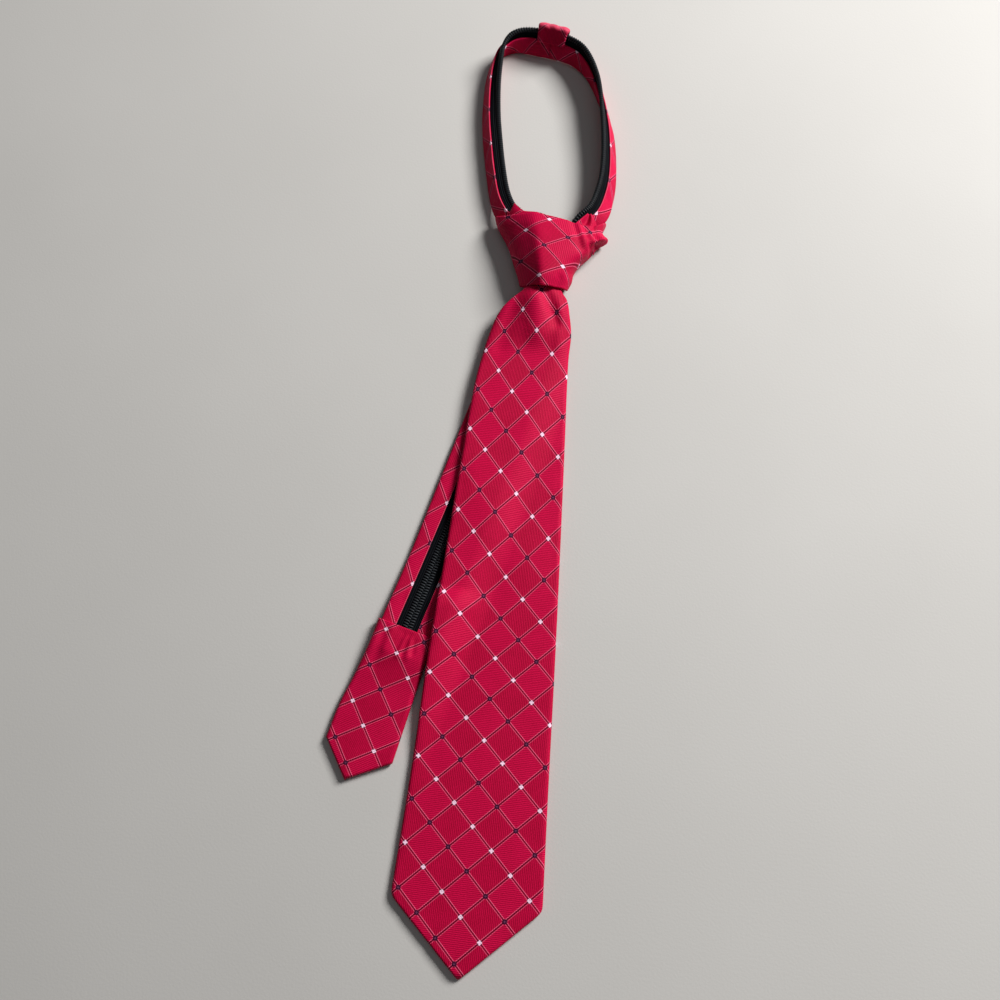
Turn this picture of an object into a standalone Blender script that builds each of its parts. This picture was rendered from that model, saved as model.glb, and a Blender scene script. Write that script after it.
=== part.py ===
"""A child's pre-tied zipper necktie, lying on its back as it rests on a floor.

The front blade points along -Y, the neck loop lies at +Y and the tail swings out to -X under the
blade. Metres, +Z up. The solids are laid out from the blade's point, on the blade's own axis, and
an empty then shifts them all so that the origin is the middle of the whole outline, on the floor.
"""

import math
from collections import namedtuple

import bmesh
import bpy
from mathutils import Vector

# Cloth and clearances
CLEARANCE = 0.0003
FLOOR = 0.0

# Front blade: a folded and padded cloth, widest at the shoulders of its point
BLADE_LENGTH = 0.3180
BLADE_WIDTH = 0.0649
BLADE_POINT = 0.0300
BLADE_THICKNESS = 0.0030
BLADE_TIP_WIDTH = 0.0014
SEAM_WIDTH = 0.0012
SEAM_DEPTH = 0.0007
ARCH_RISE = 0.0016
ARCH_RUN = 0.0600

# Knot: a wound sleeve, narrow at its mouth and wide at its top
KNOT_SHIFT = 0.0063
KNOT_LENGTH = 0.0410
KNOT_MOUTH_WIDTH = 0.0266
KNOT_TOP_WIDTH = 0.0575
KNOT_HEIGHT = 0.0198
KNOT_WALL = 0.0016

# Neck loop: two straps, each a folded band with one side of the zipper along its inner edge
LOOP_WIDTH = 0.0750
LOOP_LENGTH = 0.1150
BAND_WIDTH = 0.0085
BAND_THICKNESS = 0.0030
GROOVE_DEPTH = 0.0020
TAPE_THICKNESS = 0.0010
ZIP_WIDTH = 0.0104
COIL_WIDTH = 0.0021
COIL_HEIGHT = 0.0024

# Tail: the closed zipper between its two bands, with a folded cap on its end
TAIL_ANGLE = math.radians(15.5)
TAIL_LENGTH = 0.1617
TAIL_BEND_DROP = 0.0180
TAIL_BEND_SHIFT = 0.0030
CAP_LENGTH = 0.0745
CAP_WIDTH = 0.0315
CAP_POINT = 0.0146
CAP_WALL = 0.0010
CAP_POCKET = 0.0100
CAP_THICKNESS = 0.0030
GATHER_COUNT = 4
GATHER_DEPTH = 0.0006

# Tab over the two zipper ends at the back of the neck
TAB_LENGTH = 0.0160
TAB_RISE = 0.0036
TAB_WALL = 0.0014

# Slider, hidden in the knot
SLIDER_LENGTH = 0.0110
SLIDER_WIDTH = 0.0086
SLIDER_PLATE = 0.0010
SLIDER_POST_WIDTH = 0.0012

# Spacing of the cross-sections
LOOP_STEP = 0.0070
TAIL_STEP = 0.0160
BLADE_STEP = 0.0105

# Half-width of the blade: along, share of the blade's length from the point; flare, share of the
# way from the mouth's width to the full width; lean, sideways share of the knot's shift
BladeRow = namedtuple("BladeRow", "along flare lean")
BLADE_ROWS = (
    BladeRow(0.094, 1.000, 0.00),
    BladeRow(0.240, 0.910, 0.00),
    BladeRow(0.443, 0.800, 0.00),
    BladeRow(0.600, 0.700, 0.00),
    BladeRow(0.775, 0.580, 0.00),
    BladeRow(0.840, 0.525, 0.02),
    BladeRow(0.893, 0.455, 0.16),
    BladeRow(0.930, 0.400, 0.38),
    BladeRow(0.962, 0.270, 0.62),
    BladeRow(0.984, 0.020, 0.90),
    BladeRow(1.000, -0.110, 1.00),
    BladeRow(1.090, -0.120, 1.00),
)

# Folds of the blade: across and along, shares of the half-width and of the length; wide and long,
# the same shares for how far the fold reaches; depth, share of the thickness, a hollow if negative
FoldRow = namedtuple("FoldRow", "across along wide long depth")
BLADE_FOLDS = (
    FoldRow(-0.45, 0.945, 0.45, 0.055, -0.55),
    FoldRow(0.10, 0.955, 0.50, 0.060, 0.45),
    FoldRow(-0.20, 0.560, 0.55, 0.160, 0.22),
)

# Outline of the knot: along, share of its length from the mouth; left and right, share of the way
# from the mouth's width to the top's; height, share of the knot's height
KnotRow = namedtuple("KnotRow", "along left right height")
KNOT_ROWS = (
    KnotRow(0.00, 0.00, 0.00, 0.82),
    KnotRow(0.10, 0.06, 0.09, 0.90),
    KnotRow(0.23, 0.18, 0.13, 0.96),
    KnotRow(0.36, 0.29, 0.30, 0.99),
    KnotRow(0.50, 0.41, 0.58, 1.00),
    KnotRow(0.65, 0.58, 0.84, 1.00),
    KnotRow(0.76, 0.74, 1.05, 0.98),
    KnotRow(0.86, 0.88, 0.93, 0.96),
    KnotRow(1.00, 1.00, 1.02, 0.93),
)

# Section of the knot: across, share of the half-width; crown, share of the height at the front;
# reach, share of the length to which the front wrap comes; sag, how far its mouth droops
CrownRow = namedtuple("CrownRow", "across crown reach sag")
CROWN_ROWS = (
    CrownRow(-1.00, 0.34, 1.000, 0.00),
    CrownRow(-0.88, 0.58, 0.960, 0.00),
    CrownRow(-0.70, 0.77, 0.930, 0.01),
    CrownRow(-0.45, 0.93, 0.915, 0.02),
    CrownRow(-0.15, 1.00, 0.905, 0.02),
    CrownRow(0.20, 0.97, 0.870, 0.01),
    CrownRow(0.50, 0.90, 0.820, 0.00),
    CrownRow(0.75, 0.79, 0.830, -0.02),
    CrownRow(0.90, 0.61, 0.920, -0.03),
    CrownRow(1.00, 0.36, 1.000, -0.04),
)

# Back of the knot's section, right to left: across, crown and reach as above
BackRow = namedtuple("BackRow", "across crown reach")
BACK_ROWS = (
    BackRow(0.98, 0.135, 0.96),
    BackRow(0.91, 0.070, 0.96),
    BackRow(0.50, 0.000, 0.96),
    BackRow(0.00, 0.000, 0.96),
    BackRow(-0.50, 0.000, 0.96),
    BackRow(-0.91, 0.070, 0.96),
    BackRow(-0.98, 0.135, 0.96),
)

# Strap inside the knot, the same on both sides: along, share of the knot's length; spread, share
# of the knot's top width; rise, share of the knot's height; leans of band and zipper in degrees,
# from flat towards upright; width, share of the band's width
InnerRow = namedtuple("InnerRow", "along spread rise band_lean zip_lean width")
INNER_ROWS = (
    InnerRow(0.95, 0.195, 0.165, 38, 8, 0.82),
    InnerRow(0.79, 0.150, 0.160, 16, 6, 0.75),
    InnerRow(0.61, 0.078, 0.185, 0, 0, 0.66),
    InnerRow(0.44, 0.017, 0.190, 0, 0, 0.58),
    InnerRow(0.24, 0.000, 0.190, 0, 0, 0.53),
    InnerRow(0.00, 0.000, 0.190, 0, 0, 0.53),
)

# Route of each strap round the loop, where band and zipper meet: across, share of the loop's
# width from the knot's axis; along, share of the loop's length from the knot's top; rise, share
# of the knot's height; leans and width as above. A lean past 90 tips the strap outwards.
LoopRow = namedtuple("LoopRow", "across along rise band_lean zip_lean width")
TAB_ROW = LoopRow(-0.117, 0.962, 0.0, 124, 125, 1.13)
LEFT_ROWS = (
    TAB_ROW,
    LoopRow(-0.210, 0.972, 0.0, 123, 124, 1.12),
    LoopRow(-0.311, 0.975, 0.0, 117, 117, 1.08),
    LoopRow(-0.412, 0.953, 0.0, 97, 92, 1.04),
    LoopRow(-0.480, 0.900, 0.0, 77, 62, 1.00),
    LoopRow(-0.509, 0.809, 0.0, 66, 36, 1.00),
    LoopRow(-0.511, 0.681, 0.0, 62, 22, 1.00),
    LoopRow(-0.492, 0.530, 0.0, 58, 8, 1.00),
    LoopRow(-0.457, 0.391, 0.0, 56, 0, 1.00),
    LoopRow(-0.415, 0.252, 0.0, 56, 0, 1.00),
    LoopRow(-0.364, 0.122, 0.0, 53, 2, 1.00),
    LoopRow(-0.301, 0.036, 0.100, 40, 0, 0.95),
)
RIGHT_ROWS = (
    TAB_ROW,
    LoopRow(-0.011, 0.941, 0.0, 121, 122, 1.12),
    LoopRow(0.089, 0.902, 0.0, 113, 114, 1.10),
    LoopRow(0.169, 0.835, 0.0, 102, 102, 1.06),
    LoopRow(0.229, 0.752, 0.0, 94, 94, 1.02),
    LoopRow(0.267, 0.678, 0.0, 88, 84, 1.00),
    LoopRow(0.299, 0.600, 0.0, 78, 70, 1.00),
    LoopRow(0.334, 0.491, 0.0, 69, 55, 1.00),
    LoopRow(0.357, 0.357, 0.0, 64, 48, 1.00),
    LoopRow(0.363, 0.235, 0.0, 61, 40, 1.00),
    LoopRow(0.346, 0.142, 0.0, 55, 32, 1.00),
    LoopRow(0.306, 0.050, 0.110, 43, 22, 0.95),
)

# Width of the bands down the tail: along, share of the tail's length from its bend; width
TailRow = namedtuple("TailRow", "along width")
TAIL_ROWS = (
    TailRow(0.00, 0.92),
    TailRow(0.12, 1.10),
    TailRow(0.25, 1.13),
    TailRow(0.50, 1.02),
    TailRow(0.80, 0.89),
    TailRow(1.00, 0.89),
)

# Cap on the tail: along, share of its length from its mouth; left and right, shares of its
# half-width; swell, share of the way from the cap's thickness to the mouth's
CapRow = namedtuple("CapRow", "along left right swell")
CAP_ROWS = (
    CapRow(0.00, 0.90, 0.91, 1.00),
    CapRow(0.08, 0.88, 0.91, 1.00),
    CapRow(0.17, 0.87, 0.91, 0.98),
    CapRow(0.27, 0.89, 0.94, 0.62),
    CapRow(0.40, 0.92, 0.97, 0.28),
    CapRow(0.60, 0.99, 1.03, 0.08),
    CapRow(0.795, 0.965, 1.09, 0.00),
)

# Ends of the cloth that stick out behind the front wrap at the knot's top: across and half, shares
# of the top's half-width; along, share of the knot's length; sink, share of the cloth's thickness
TipRow = namedtuple("TipRow", "across along half sink")
LEFT_FOLD = (
    TipRow(-0.40, 0.72, 0.15, 0.0),
    TipRow(-0.52, 0.93, 0.15, 0.0),
    TipRow(-0.59, 1.05, 0.11, 0.0),
    TipRow(-0.66, 1.18, 0.02, 0.0),
)
RIGHT_FOLD = (
    TipRow(0.50, 0.64, 0.16, 0.2),
    TipRow(0.55, 0.84, 0.16, 0.2),
    TipRow(0.59, 0.97, 0.13, 0.2),
    TipRow(0.66, 1.07, 0.03, 0.2),
)


def smooth(share):
    """A smooth step from 0 to 1."""
    share = min(1.0, max(0.0, share))
    return share * share * (3.0 - 2.0 * share)


def read(rows, keys, at):
    """The columns of a table at a place between its rows, on smooth curves through them."""
    last = len(rows) - 1
    at = min(max(at, keys[0]), keys[-1])
    low = 0
    while low < last - 1 and at > keys[low + 1]:
        low += 1
    span = keys[low + 1] - keys[low]
    t = (at - keys[low]) / span
    values = []
    for column in range(len(rows[0])):
        before, after = rows[low][column], rows[low + 1][column]
        slopes = []
        for row in (low, low + 1):
            back, ahead = max(row - 1, 0), min(row + 1, last)
            rise = rows[ahead][column] - rows[back][column]
            slopes.append(rise / (keys[ahead] - keys[back]) * span)
        values.append(
            before * (2 * t**3 - 3 * t**2 + 1)
            + slopes[0] * (t**3 - 2 * t**2 + t)
            + after * (3 * t**2 - 2 * t**3)
            + slopes[1] * (t**3 - t**2)
        )
    return type(rows[0])(*values)


def read_along(rows, at):
    return read(rows, [row.along for row in rows], at)


# Places that several pieces share
MOUTH_Y = BLADE_LENGTH
TOP_Y = MOUTH_Y + KNOT_LENGTH
TAIL_WAY = Vector((math.sin(TAIL_ANGLE), math.cos(TAIL_ANGLE), 0.0))
TAIL_SIDE = Vector((math.cos(TAIL_ANGLE), -math.sin(TAIL_ANGLE), 0.0))
TAIL_BEND = Vector((KNOT_SHIFT - TAIL_BEND_SHIFT, MOUTH_Y - TAIL_BEND_DROP, 0.0))
ZIP_END = TAIL_BEND - TAIL_WAY * TAIL_LENGTH
CAP_MOUTH_HEIGHT = BAND_THICKNESS + 2 * CLEARANCE + 2 * CAP_WALL
STRAP_LIFT = INNER_ROWS[-1].rise * KNOT_HEIGHT
ZIP_HALF = ZIP_WIDTH / 2 - CLEARANCE / 2


def new_object(name, mesh, finish, parent):
    """An object with the mesh, shaded smooth, made of one finish and carried by the empty."""
    thing = bpy.data.objects.new(name, mesh)
    bpy.context.scene.collection.objects.link(thing)
    mesh.materials.append(finish)
    mesh.shade_smooth()
    mesh.set_sharp_from_angle(angle=math.radians(45))
    thing.parent = parent
    return thing


def loft(rings, holes=()):
    """A closed mesh through rings of points, with an open bore where inner rings are given."""
    mesh = bpy.data.meshes.new("loft")
    shape = bmesh.new()
    skins = []
    for group in (rings, holes):
        skins.append([[shape.verts.new(point) for point in ring] for ring in group])
    for skin in skins:
        for ring, following in zip(skin, skin[1:]):
            count = len(ring)
            for k in range(count):
                n = (k + 1) % count
                shape.faces.new((ring[k], ring[n], following[n], following[k]))
    outer, inner = skins
    for end in (0, -1):
        if inner:
            count = len(outer[end])
            for k in range(count):
                n = (k + 1) % count
                shape.faces.new((outer[end][k], outer[end][n], inner[end][n], inner[end][k]))
        else:
            shape.faces.new(outer[end])
    bmesh.ops.recalc_face_normals(shape, faces=shape.faces)
    bmesh.ops.triangulate(shape, faces=shape.faces)
    shape.to_mesh(mesh)
    shape.free()
    return mesh


def surface(name, colour, roughness, metallic=0.0):
    """A Principled material."""
    material = bpy.data.materials.new(name)
    material.use_nodes = True
    shader = material.node_tree.nodes["Principled BSDF"]
    shader.inputs["Base Color"].default_value = (*colour, 1.0)
    shader.inputs["Roughness"].default_value = roughness
    shader.inputs["Metallic"].default_value = metallic
    return material


def tail_centre(y):
    """Where the tail's middle lies at a height along the blade, curving up into the mouth."""
    mouth = smooth((y - TAIL_BEND.y) / TAIL_BEND_DROP)
    straight = TAIL_BEND.x + (y - TAIL_BEND.y) * math.tan(TAIL_ANGLE)
    return straight * (1.0 - mouth) + KNOT_SHIFT * mouth


def tail_top(y):
    """Height of what the blade lies on: the cap, then the bands, then their climb to the knot."""
    cap = CAP_MOUTH_HEIGHT * (1.0 - smooth((y - ZIP_END.y - CAP_POCKET) / (2 * CAP_POCKET)))
    climb = 2 * TAIL_BEND_DROP
    bands = BAND_THICKNESS + STRAP_LIFT * smooth((y - MOUTH_Y + climb) / climb)
    return max(cap, bands)


def blade_rest(x, y):
    """Height of the blade's underside: it drapes from the tail down to the floor beside it."""
    half = (BAND_WIDTH * 1.15 + ZIP_HALF) / math.cos(TAIL_ANGLE)
    drape = 6 * BLADE_THICKNESS
    beside = abs(x - tail_centre(y)) - half - CLEARANCE
    cap_tip = ZIP_END.y - CAP_LENGTH
    end = smooth((y - cap_tip) / (4 * drape))
    return (tail_top(y) + CLEARANCE) * (1.0 - smooth(beside / drape)) * end


def blade_half(y):
    """Half the blade's width and its middle, at a distance from the point."""
    row = read_along(BLADE_ROWS, y / BLADE_LENGTH)
    mouth = KNOT_MOUTH_WIDTH - 2 * KNOT_WALL
    wide = mouth + (BLADE_WIDTH - mouth) * row.flare
    if y < BLADE_POINT:
        wide = BLADE_TIP_WIDTH + (BLADE_WIDTH - BLADE_TIP_WIDTH) * y / BLADE_POINT
    return wide / 2, KNOT_SHIFT * row.lean


def blade_fold(across, y):
    """How far the folds near the knot lift or sink the cloth, as a share of its thickness."""
    total = 0.0
    for fold in BLADE_FOLDS:
        side = (across - fold.across) / fold.wide
        way = (y / BLADE_LENGTH - fold.along) / fold.long
        total += fold.depth * math.exp(-2.0 * (side * side + way * way))
    return total * smooth(1.0 - abs(across)) * smooth((MOUTH_Y - y) / (3 * BLADE_THICKNESS))


def front_blade(parent, cloth):
    """The wide blade: a flat padded cloth with rounded edges and a seam down its back."""
    over = (-1.0, -0.97, -0.88, -0.66, -0.44, -0.22, 0.0, 0.22, 0.44, 0.66, 0.88, 0.97, 1.0)
    under = (0.97, 0.88, 0.66, 0.44, 0.22, -0.22, -0.44, -0.66, -0.88, -0.97)
    stations = [0.0, BLADE_POINT * 0.12, BLADE_POINT * 0.5, BLADE_POINT]
    count = round((MOUTH_Y - BLADE_POINT) / BLADE_STEP)
    stations += [BLADE_POINT + (MOUTH_Y - BLADE_POINT) * k / count for k in range(1, count + 1)]
    stations += [MOUTH_Y + KNOT_LENGTH * share for share in (0.15, 0.4, 0.62)]
    rings = []
    for y in stations:
        half, middle = blade_half(y)
        arch = ARCH_RISE * smooth((y - MOUTH_Y + ARCH_RUN) / ARCH_RUN)
        seam = SEAM_DEPTH * smooth(y / BLADE_POINT)
        slit = min(SEAM_WIDTH / 2 / half, 0.1)
        ring = []
        for place, across in enumerate(over + under[:5] + (slit, 0.0, -slit) + under[5:]):
            x = middle + across * half
            edge = 1.0 - 0.5 * smooth((abs(across) - 0.86) / 0.14)
            fold = blade_fold(across, y) * BLADE_THICKNESS
            z = blade_rest(x, y) + arch * (1.0 - across * across) + max(0.0, fold)
            z += BLADE_THICKNESS * (1.0 - edge) / 2
            if place < len(over):
                z += BLADE_THICKNESS * edge + min(0.0, fold)
            elif across == 0.0:
                z += seam
            ring.append(Vector((x, y, z)))
        rings.append(ring)
    return new_object("front_blade", loft(rings), cloth, parent)


def knot_outline(share):
    """The knot's reach left and right of its middle and its height, at a share of its length."""
    row = read_along(KNOT_ROWS, share)
    narrow = KNOT_MOUTH_WIDTH / 2
    flare = KNOT_TOP_WIDTH / 2 - narrow
    return narrow + flare * row.left, narrow + flare * row.right, KNOT_HEIGHT * row.height


def knot_ring(share, wall):
    """A section of the knot at a share of its length, drawn in by the wall's thickness."""
    left, right, height = knot_outline(share)
    keys = [crown.across for crown in CROWN_ROWS]
    over = [-1.0, -0.95, -0.84, -0.66, -0.45, -0.22, 0.0, 0.22, 0.45, 0.66, 0.82, 0.93, 1.0]
    points = []
    for across in over:
        crown = read(CROWN_ROWS, keys, across)
        reach = share * crown.reach + (1.0 - share) * crown.sag
        points.append((across, height * crown.crown, MOUTH_Y + KNOT_LENGTH * reach))
    for back in BACK_ROWS:
        reach = share * back.reach
        points.append((back.across, height * back.crown, MOUTH_Y + KNOT_LENGTH * reach))
    flat = [Vector((KNOT_SHIFT + a * (right if a > 0 else left), z)) for a, z, _ in points]
    ring = []
    count = len(flat)
    for k in range(count):
        way = (flat[(k + 1) % count] - flat[k - 1]).normalized()
        inward = Vector((way.y, -way.x))
        moved = flat[k] + inward * wall
        ring.append(Vector((moved.x, points[k][2], moved.y)))
    return ring


def knot(parent, cloth):
    """The wound sleeve of the knot, open at its mouth and its top."""
    shares = (0.0, 0.05, 0.13, 0.23, 0.33, 0.43, 0.54, 0.65, 0.76, 0.86, 0.94, 1.0)
    outer = [knot_ring(share, 0.0) for share in shares]
    inner = [knot_ring(share, KNOT_WALL) for share in shares]
    return new_object("knot", loft(outer, inner), cloth, parent)


def under_wrap(x, share):
    """Height just under the front wrap, at a place across the knot and a share of its length."""
    left, right, height = knot_outline(share)
    across = (x - KNOT_SHIFT) / (right if x > KNOT_SHIFT else left)
    keys = [crown.across for crown in CROWN_ROWS]
    crown, beside = (read(CROWN_ROWS, keys, place).crown for place in (across, across * 0.98))
    slope = (crown - beside) * height / (0.02 * (x - KNOT_SHIFT))
    return crown * height - KNOT_WALL * math.hypot(1.0, slope) - 2 * CLEARANCE


def knot_fold(name, rows, parent, cloth):
    """An end of cloth that sticks out of the knot's top, behind the front wrap."""
    rings = []
    for row in rows:
        top, bottom = [], []
        y = MOUTH_Y + KNOT_LENGTH * row.along
        for side in (-1.0, -0.5, 0.0, 0.5, 1.0):
            x = KNOT_SHIFT + (row.across + side * row.half) * KNOT_TOP_WIDTH / 2
            z = under_wrap(x, min(row.along, 1.0)) - row.sink * KNOT_WALL
            top.append(Vector((x, y, z)))
            bottom.append(Vector((x, y, z - KNOT_WALL)))
        rings.append(top + bottom[::-1])
    return new_object(name, loft(rings), cloth, parent)


def strap_stations(loop_rows, ghost, side):
    """Points of a strap's route from the neck to the tail's end, with leans, rise and width.

    The ghost is the other strap's first row past the tab, so that both start in one line.
    """
    Station = namedtuple("Station", "x y rise band_lean zip_lean width")
    marks = []
    for row in (ghost, *loop_rows):
        x = KNOT_SHIFT + row.across * LOOP_WIDTH
        y = TOP_Y + row.along * LOOP_LENGTH
        marks.append(Station(x, y, row.rise * KNOT_HEIGHT, row.band_lean, row.zip_lean, row.width))
    for row in INNER_ROWS:
        x = KNOT_SHIFT + side * (ZIP_WIDTH / 2 + row.spread * KNOT_TOP_WIDTH)
        y = MOUTH_Y + row.along * KNOT_LENGTH
        marks.append(Station(x, y, row.rise * KNOT_HEIGHT, row.band_lean, row.zip_lean, row.width))
    loop_count = len(marks)
    for row in TAIL_ROWS:
        middle = TAIL_BEND - TAIL_WAY * TAIL_LENGTH * row.along
        middle += TAIL_SIDE * side * ZIP_WIDTH / 2
        rise = STRAP_LIFT * 0.25 if row.along == 0.0 else 0.0
        marks.append(Station(middle.x, middle.y, rise, 0, 0, row.width))
    cap_lift = CAP_WALL + CLEARANCE
    marks[-1] = marks[-1]._replace(rise=cap_lift)
    inside = TAIL_WAY * (CAP_POCKET - 4 * CLEARANCE)
    end = marks[-1]
    marks.append(end._replace(x=end.x - inside.x, y=end.y - inside.y))
    keys = [-math.hypot(marks[1].x - marks[0].x, marks[1].y - marks[0].y)]
    for here, there in zip(marks, marks[1:]):
        keys.append(keys[-1] + math.hypot(there.x - here.x, there.y - here.y))
    stations = []
    bend = keys[loop_count]
    for start, stop, step in ((0.0, bend, LOOP_STEP), (bend, keys[-1], TAIL_STEP)):
        count = max(1, round((stop - start) / step))
        stations += [start + (stop - start) * k / count for k in range(count)]
    stations.append(keys[-1])
    return [(read(marks, keys, at), read(marks, keys, at + 0.0005), read(marks, keys, at - 0.0005))
            for at in stations]


def strap_frames(loop_rows, ghost, side):
    """Frames along a strap: the meeting line's point, and the band's and zipper's directions."""
    Frame = namedtuple("Frame", "at band band_up zip zip_up width")
    frames = []
    for here, ahead, behind in strap_stations(loop_rows, ghost, side):
        way = Vector((ahead.x - behind.x, ahead.y - behind.y, 0.0)).normalized()
        inward = Vector((-way.y, way.x, 0.0)) * (-side)
        up = Vector((0.0, 0.0, 1.0))
        directions = []
        for lean in (here.band_lean, here.zip_lean):
            angle = math.radians(lean)
            directions.append(inward * math.cos(angle) + up * math.sin(angle))
            directions.append(up * math.cos(angle) - inward * math.sin(angle))
        band, band_up, zipper, zip_up = directions
        wide = BAND_WIDTH * here.width
        height = max(0.0, here.rise) + wide * band.z + abs(band_up.z) * BAND_THICKNESS / 2
        at = Vector((here.x, here.y, height))
        frames.append(Frame(at, band, band_up, zipper, zip_up, wide))
    apart = (frames[1].at - frames[0].at).normalized() * (CLEARANCE / 2)
    frames[0] = frames[0]._replace(at=frames[0].at + apart)
    return frames


def strap(side_name, loop_rows, ghost, side, parent, cloth, webbing, nylon):
    """One side of the zipper with its folded band, from the back of the neck to the cap.

    The coil is in two pieces, which part in the knot: below it the two sides are closed.
    """
    frames = strap_frames(loop_rows, ghost, side)
    slot = TAPE_THICKNESS / 2 + CLEARANCE
    half = BAND_THICKNESS / 2
    hem = BAND_THICKNESS * 0.3
    band_rings, tape_rings, coil_rings = [], [], []
    for frame in frames:
        outline = (
            (-frame.width, -half * 0.55), (-frame.width + hem, -half), (0.0, -half),
            (0.0, -slot), (-GROOVE_DEPTH, -slot), (-GROOVE_DEPTH, slot), (0.0, slot),
            (0.0, half), (-frame.width + hem, half), (-frame.width, half * 0.55),
        )
        band_rings.append([frame.at + frame.band * a + frame.band_up * b for a, b in outline])
        bend = frame.at + frame.band * (2 * CLEARANCE)
        tuck = frame.at - frame.band * (GROOVE_DEPTH - CLEARANCE)
        edge = bend + frame.zip * (ZIP_HALF - COIL_WIDTH - 3 * CLEARANCE)
        skin = TAPE_THICKNESS / 2
        middle_up = (frame.band_up + frame.zip_up).normalized()
        tape_rings.append([
            tuck - frame.band_up * skin, bend - middle_up * skin, edge - frame.zip_up * skin,
            edge + frame.zip_up * skin, bend + middle_up * skin, tuck + frame.band_up * skin,
        ])
        hub = edge + frame.zip * (CLEARANCE + COIL_WIDTH / 2)
        bead = []
        for k in range(8):
            turn = math.tau * (k + 0.5) / 8
            a = frame.zip * (math.cos(turn) / math.cos(math.pi / 8) * COIL_WIDTH / 2)
            b = frame.zip_up * (math.sin(turn) / math.cos(math.pi / 8) * COIL_HEIGHT / 2)
            bead.append(hub + a + b)
        coil_rings.append(bead)
    new_object(f"{side_name}_band", loft(band_rings), cloth, parent)
    new_object(f"{side_name}_zipper_tape", loft(tape_rings), webbing, parent)
    parting = MOUTH_Y + KNOT_LENGTH * INNER_ROWS[-2].along
    cut = next(k for k, frame in enumerate(frames) if frame.at.y < parting)
    apart = (frames[cut + 1].at - frames[cut].at).normalized() * CLEARANCE
    tail_rings = [[point + apart for point in coil_rings[cut]]] + coil_rings[cut + 1:]
    new_object(f"{side_name}_neck_coil", loft(coil_rings[:cut + 1]), nylon, parent)
    new_object(f"{side_name}_tail_coil", loft(tail_rings), nylon, parent)
    return frames


def tail_cap(parent, cloth):
    """The folded cloth cap on the tail's end, with a pocket for the ends of the straps."""
    columns = (-1.0, -0.97, -0.86, -0.7, -0.53, -0.36, -0.18)
    columns += (0.0,) + tuple(-across for across in reversed(columns))
    under = (0.97, 0.86, 0.0, -0.86, -0.97)
    shoulder = 1.0 - CAP_POINT / CAP_LENGTH
    shares = [0.0, 0.04, 0.09, 0.14, 0.2, 0.27, 0.36, 0.48, 0.6, 0.7, shoulder, 0.9, 0.985, 1.0]
    rings = []
    for share in shares:
        row = read_along(CAP_ROWS, min(share, CAP_ROWS[-1].along))
        point = (1.0 - share) / (1.0 - shoulder) if share > shoulder else 1.0
        point = max(point, BLADE_TIP_WIDTH / CAP_WIDTH)
        height = CAP_THICKNESS + (CAP_MOUTH_HEIGHT - CAP_THICKNESS) * row.swell
        fade = smooth(share / 0.1) * smooth((0.42 - share) / 0.3)
        ring = []
        for place, across in enumerate(columns + under):
            half = CAP_WIDTH / 2 * (row.left if across < 0 else row.right) * point
            edge = smooth((abs(across) - 0.84) / 0.16)
            if place < len(columns):
                z = height * (1.0 - 0.42 * edge)
                ripple = math.cos(math.pi * GATHER_COUNT * (across + 1.0)) * 0.5 - 0.5
                z += GATHER_DEPTH * ripple * fade * (1.0 - edge)
            else:
                z = height * 0.2 * edge
            middle = ZIP_END + TAIL_WAY * (2 * CAP_WALL - CAP_LENGTH * share)
            ring.append(middle + TAIL_SIDE * across * half + Vector((0.0, 0.0, z)))
        rings.append(ring)
    cap = new_object("tail_end_cap", loft(rings), cloth, parent)
    widest = ZIP_WIDTH + 2 * BAND_WIDTH * TAIL_ROWS[-1].width + 2 * CLEARANCE
    tall = BAND_THICKNESS + 2 * CLEARANCE
    corners = []
    for way in (-CAP_POCKET, CAP_POCKET):
        for a, b in ((-1, 0), (1, 0), (1, 1), (-1, 1)):
            place = ZIP_END + TAIL_WAY * way + TAIL_SIDE * (a * widest / 2)
            corners.append(place + Vector((0.0, 0.0, CAP_WALL + b * tall)))
    cutter = new_object("pocket_cutter", loft((corners[:4], corners[4:])), cloth, parent)
    cutter.hide_render = True
    cutter.display_type = "WIRE"
    cut = cap.modifiers.new("pocket", "BOOLEAN")
    cut.operation = "DIFFERENCE"
    cut.object = cutter
    return cap


def neck_tab(left_frames, right_frames, parent, cloth):
    """The folded tab that straddles the two zipper ends at the back of the neck."""
    line = [frame for frame in reversed(left_frames[:4])] + list(right_frames[:4])
    keys = [0.0]
    for here, there in zip(line, line[1:]):
        keys.append(keys[-1] + (there.at - here.at).length)
    centre = (keys[3] + keys[4]) / 2
    Place = namedtuple("Place", "x y z bx by bz ux uy uz")
    places = [Place(*frame.at, *frame.zip, *frame.zip_up) for frame in line]
    inner = COIL_HEIGHT / 2 + CLEARANCE
    outer = inner + TAB_WALL
    foot = BAND_THICKNESS * 0.1 + 4 * CLEARANCE
    top = ZIP_HALF + 3 * CLEARANCE + TAB_RISE
    roof = ZIP_HALF + 2 * CLEARANCE
    outline = (
        (foot, -outer), (top - TAB_WALL, -outer), (top, -inner * 0.6), (top, inner * 0.6),
        (top - TAB_WALL, outer), (foot, outer), (foot, inner), (roof, inner), (roof, -inner),
        (foot, -inner),
    )
    rings = []
    for share in (-0.5, -0.42, -0.2, 0.0, 0.2, 0.42, 0.5):
        place = read(places, keys, centre + TAB_LENGTH * share)
        at = Vector(place[0:3])
        way = Vector(place[3:6]).normalized()
        up = Vector(place[6:9]).normalized()
        rings.append([at + way * a + up * b for a, b in outline])
    return new_object("neck_tab", loft(rings), cloth, parent)


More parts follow.
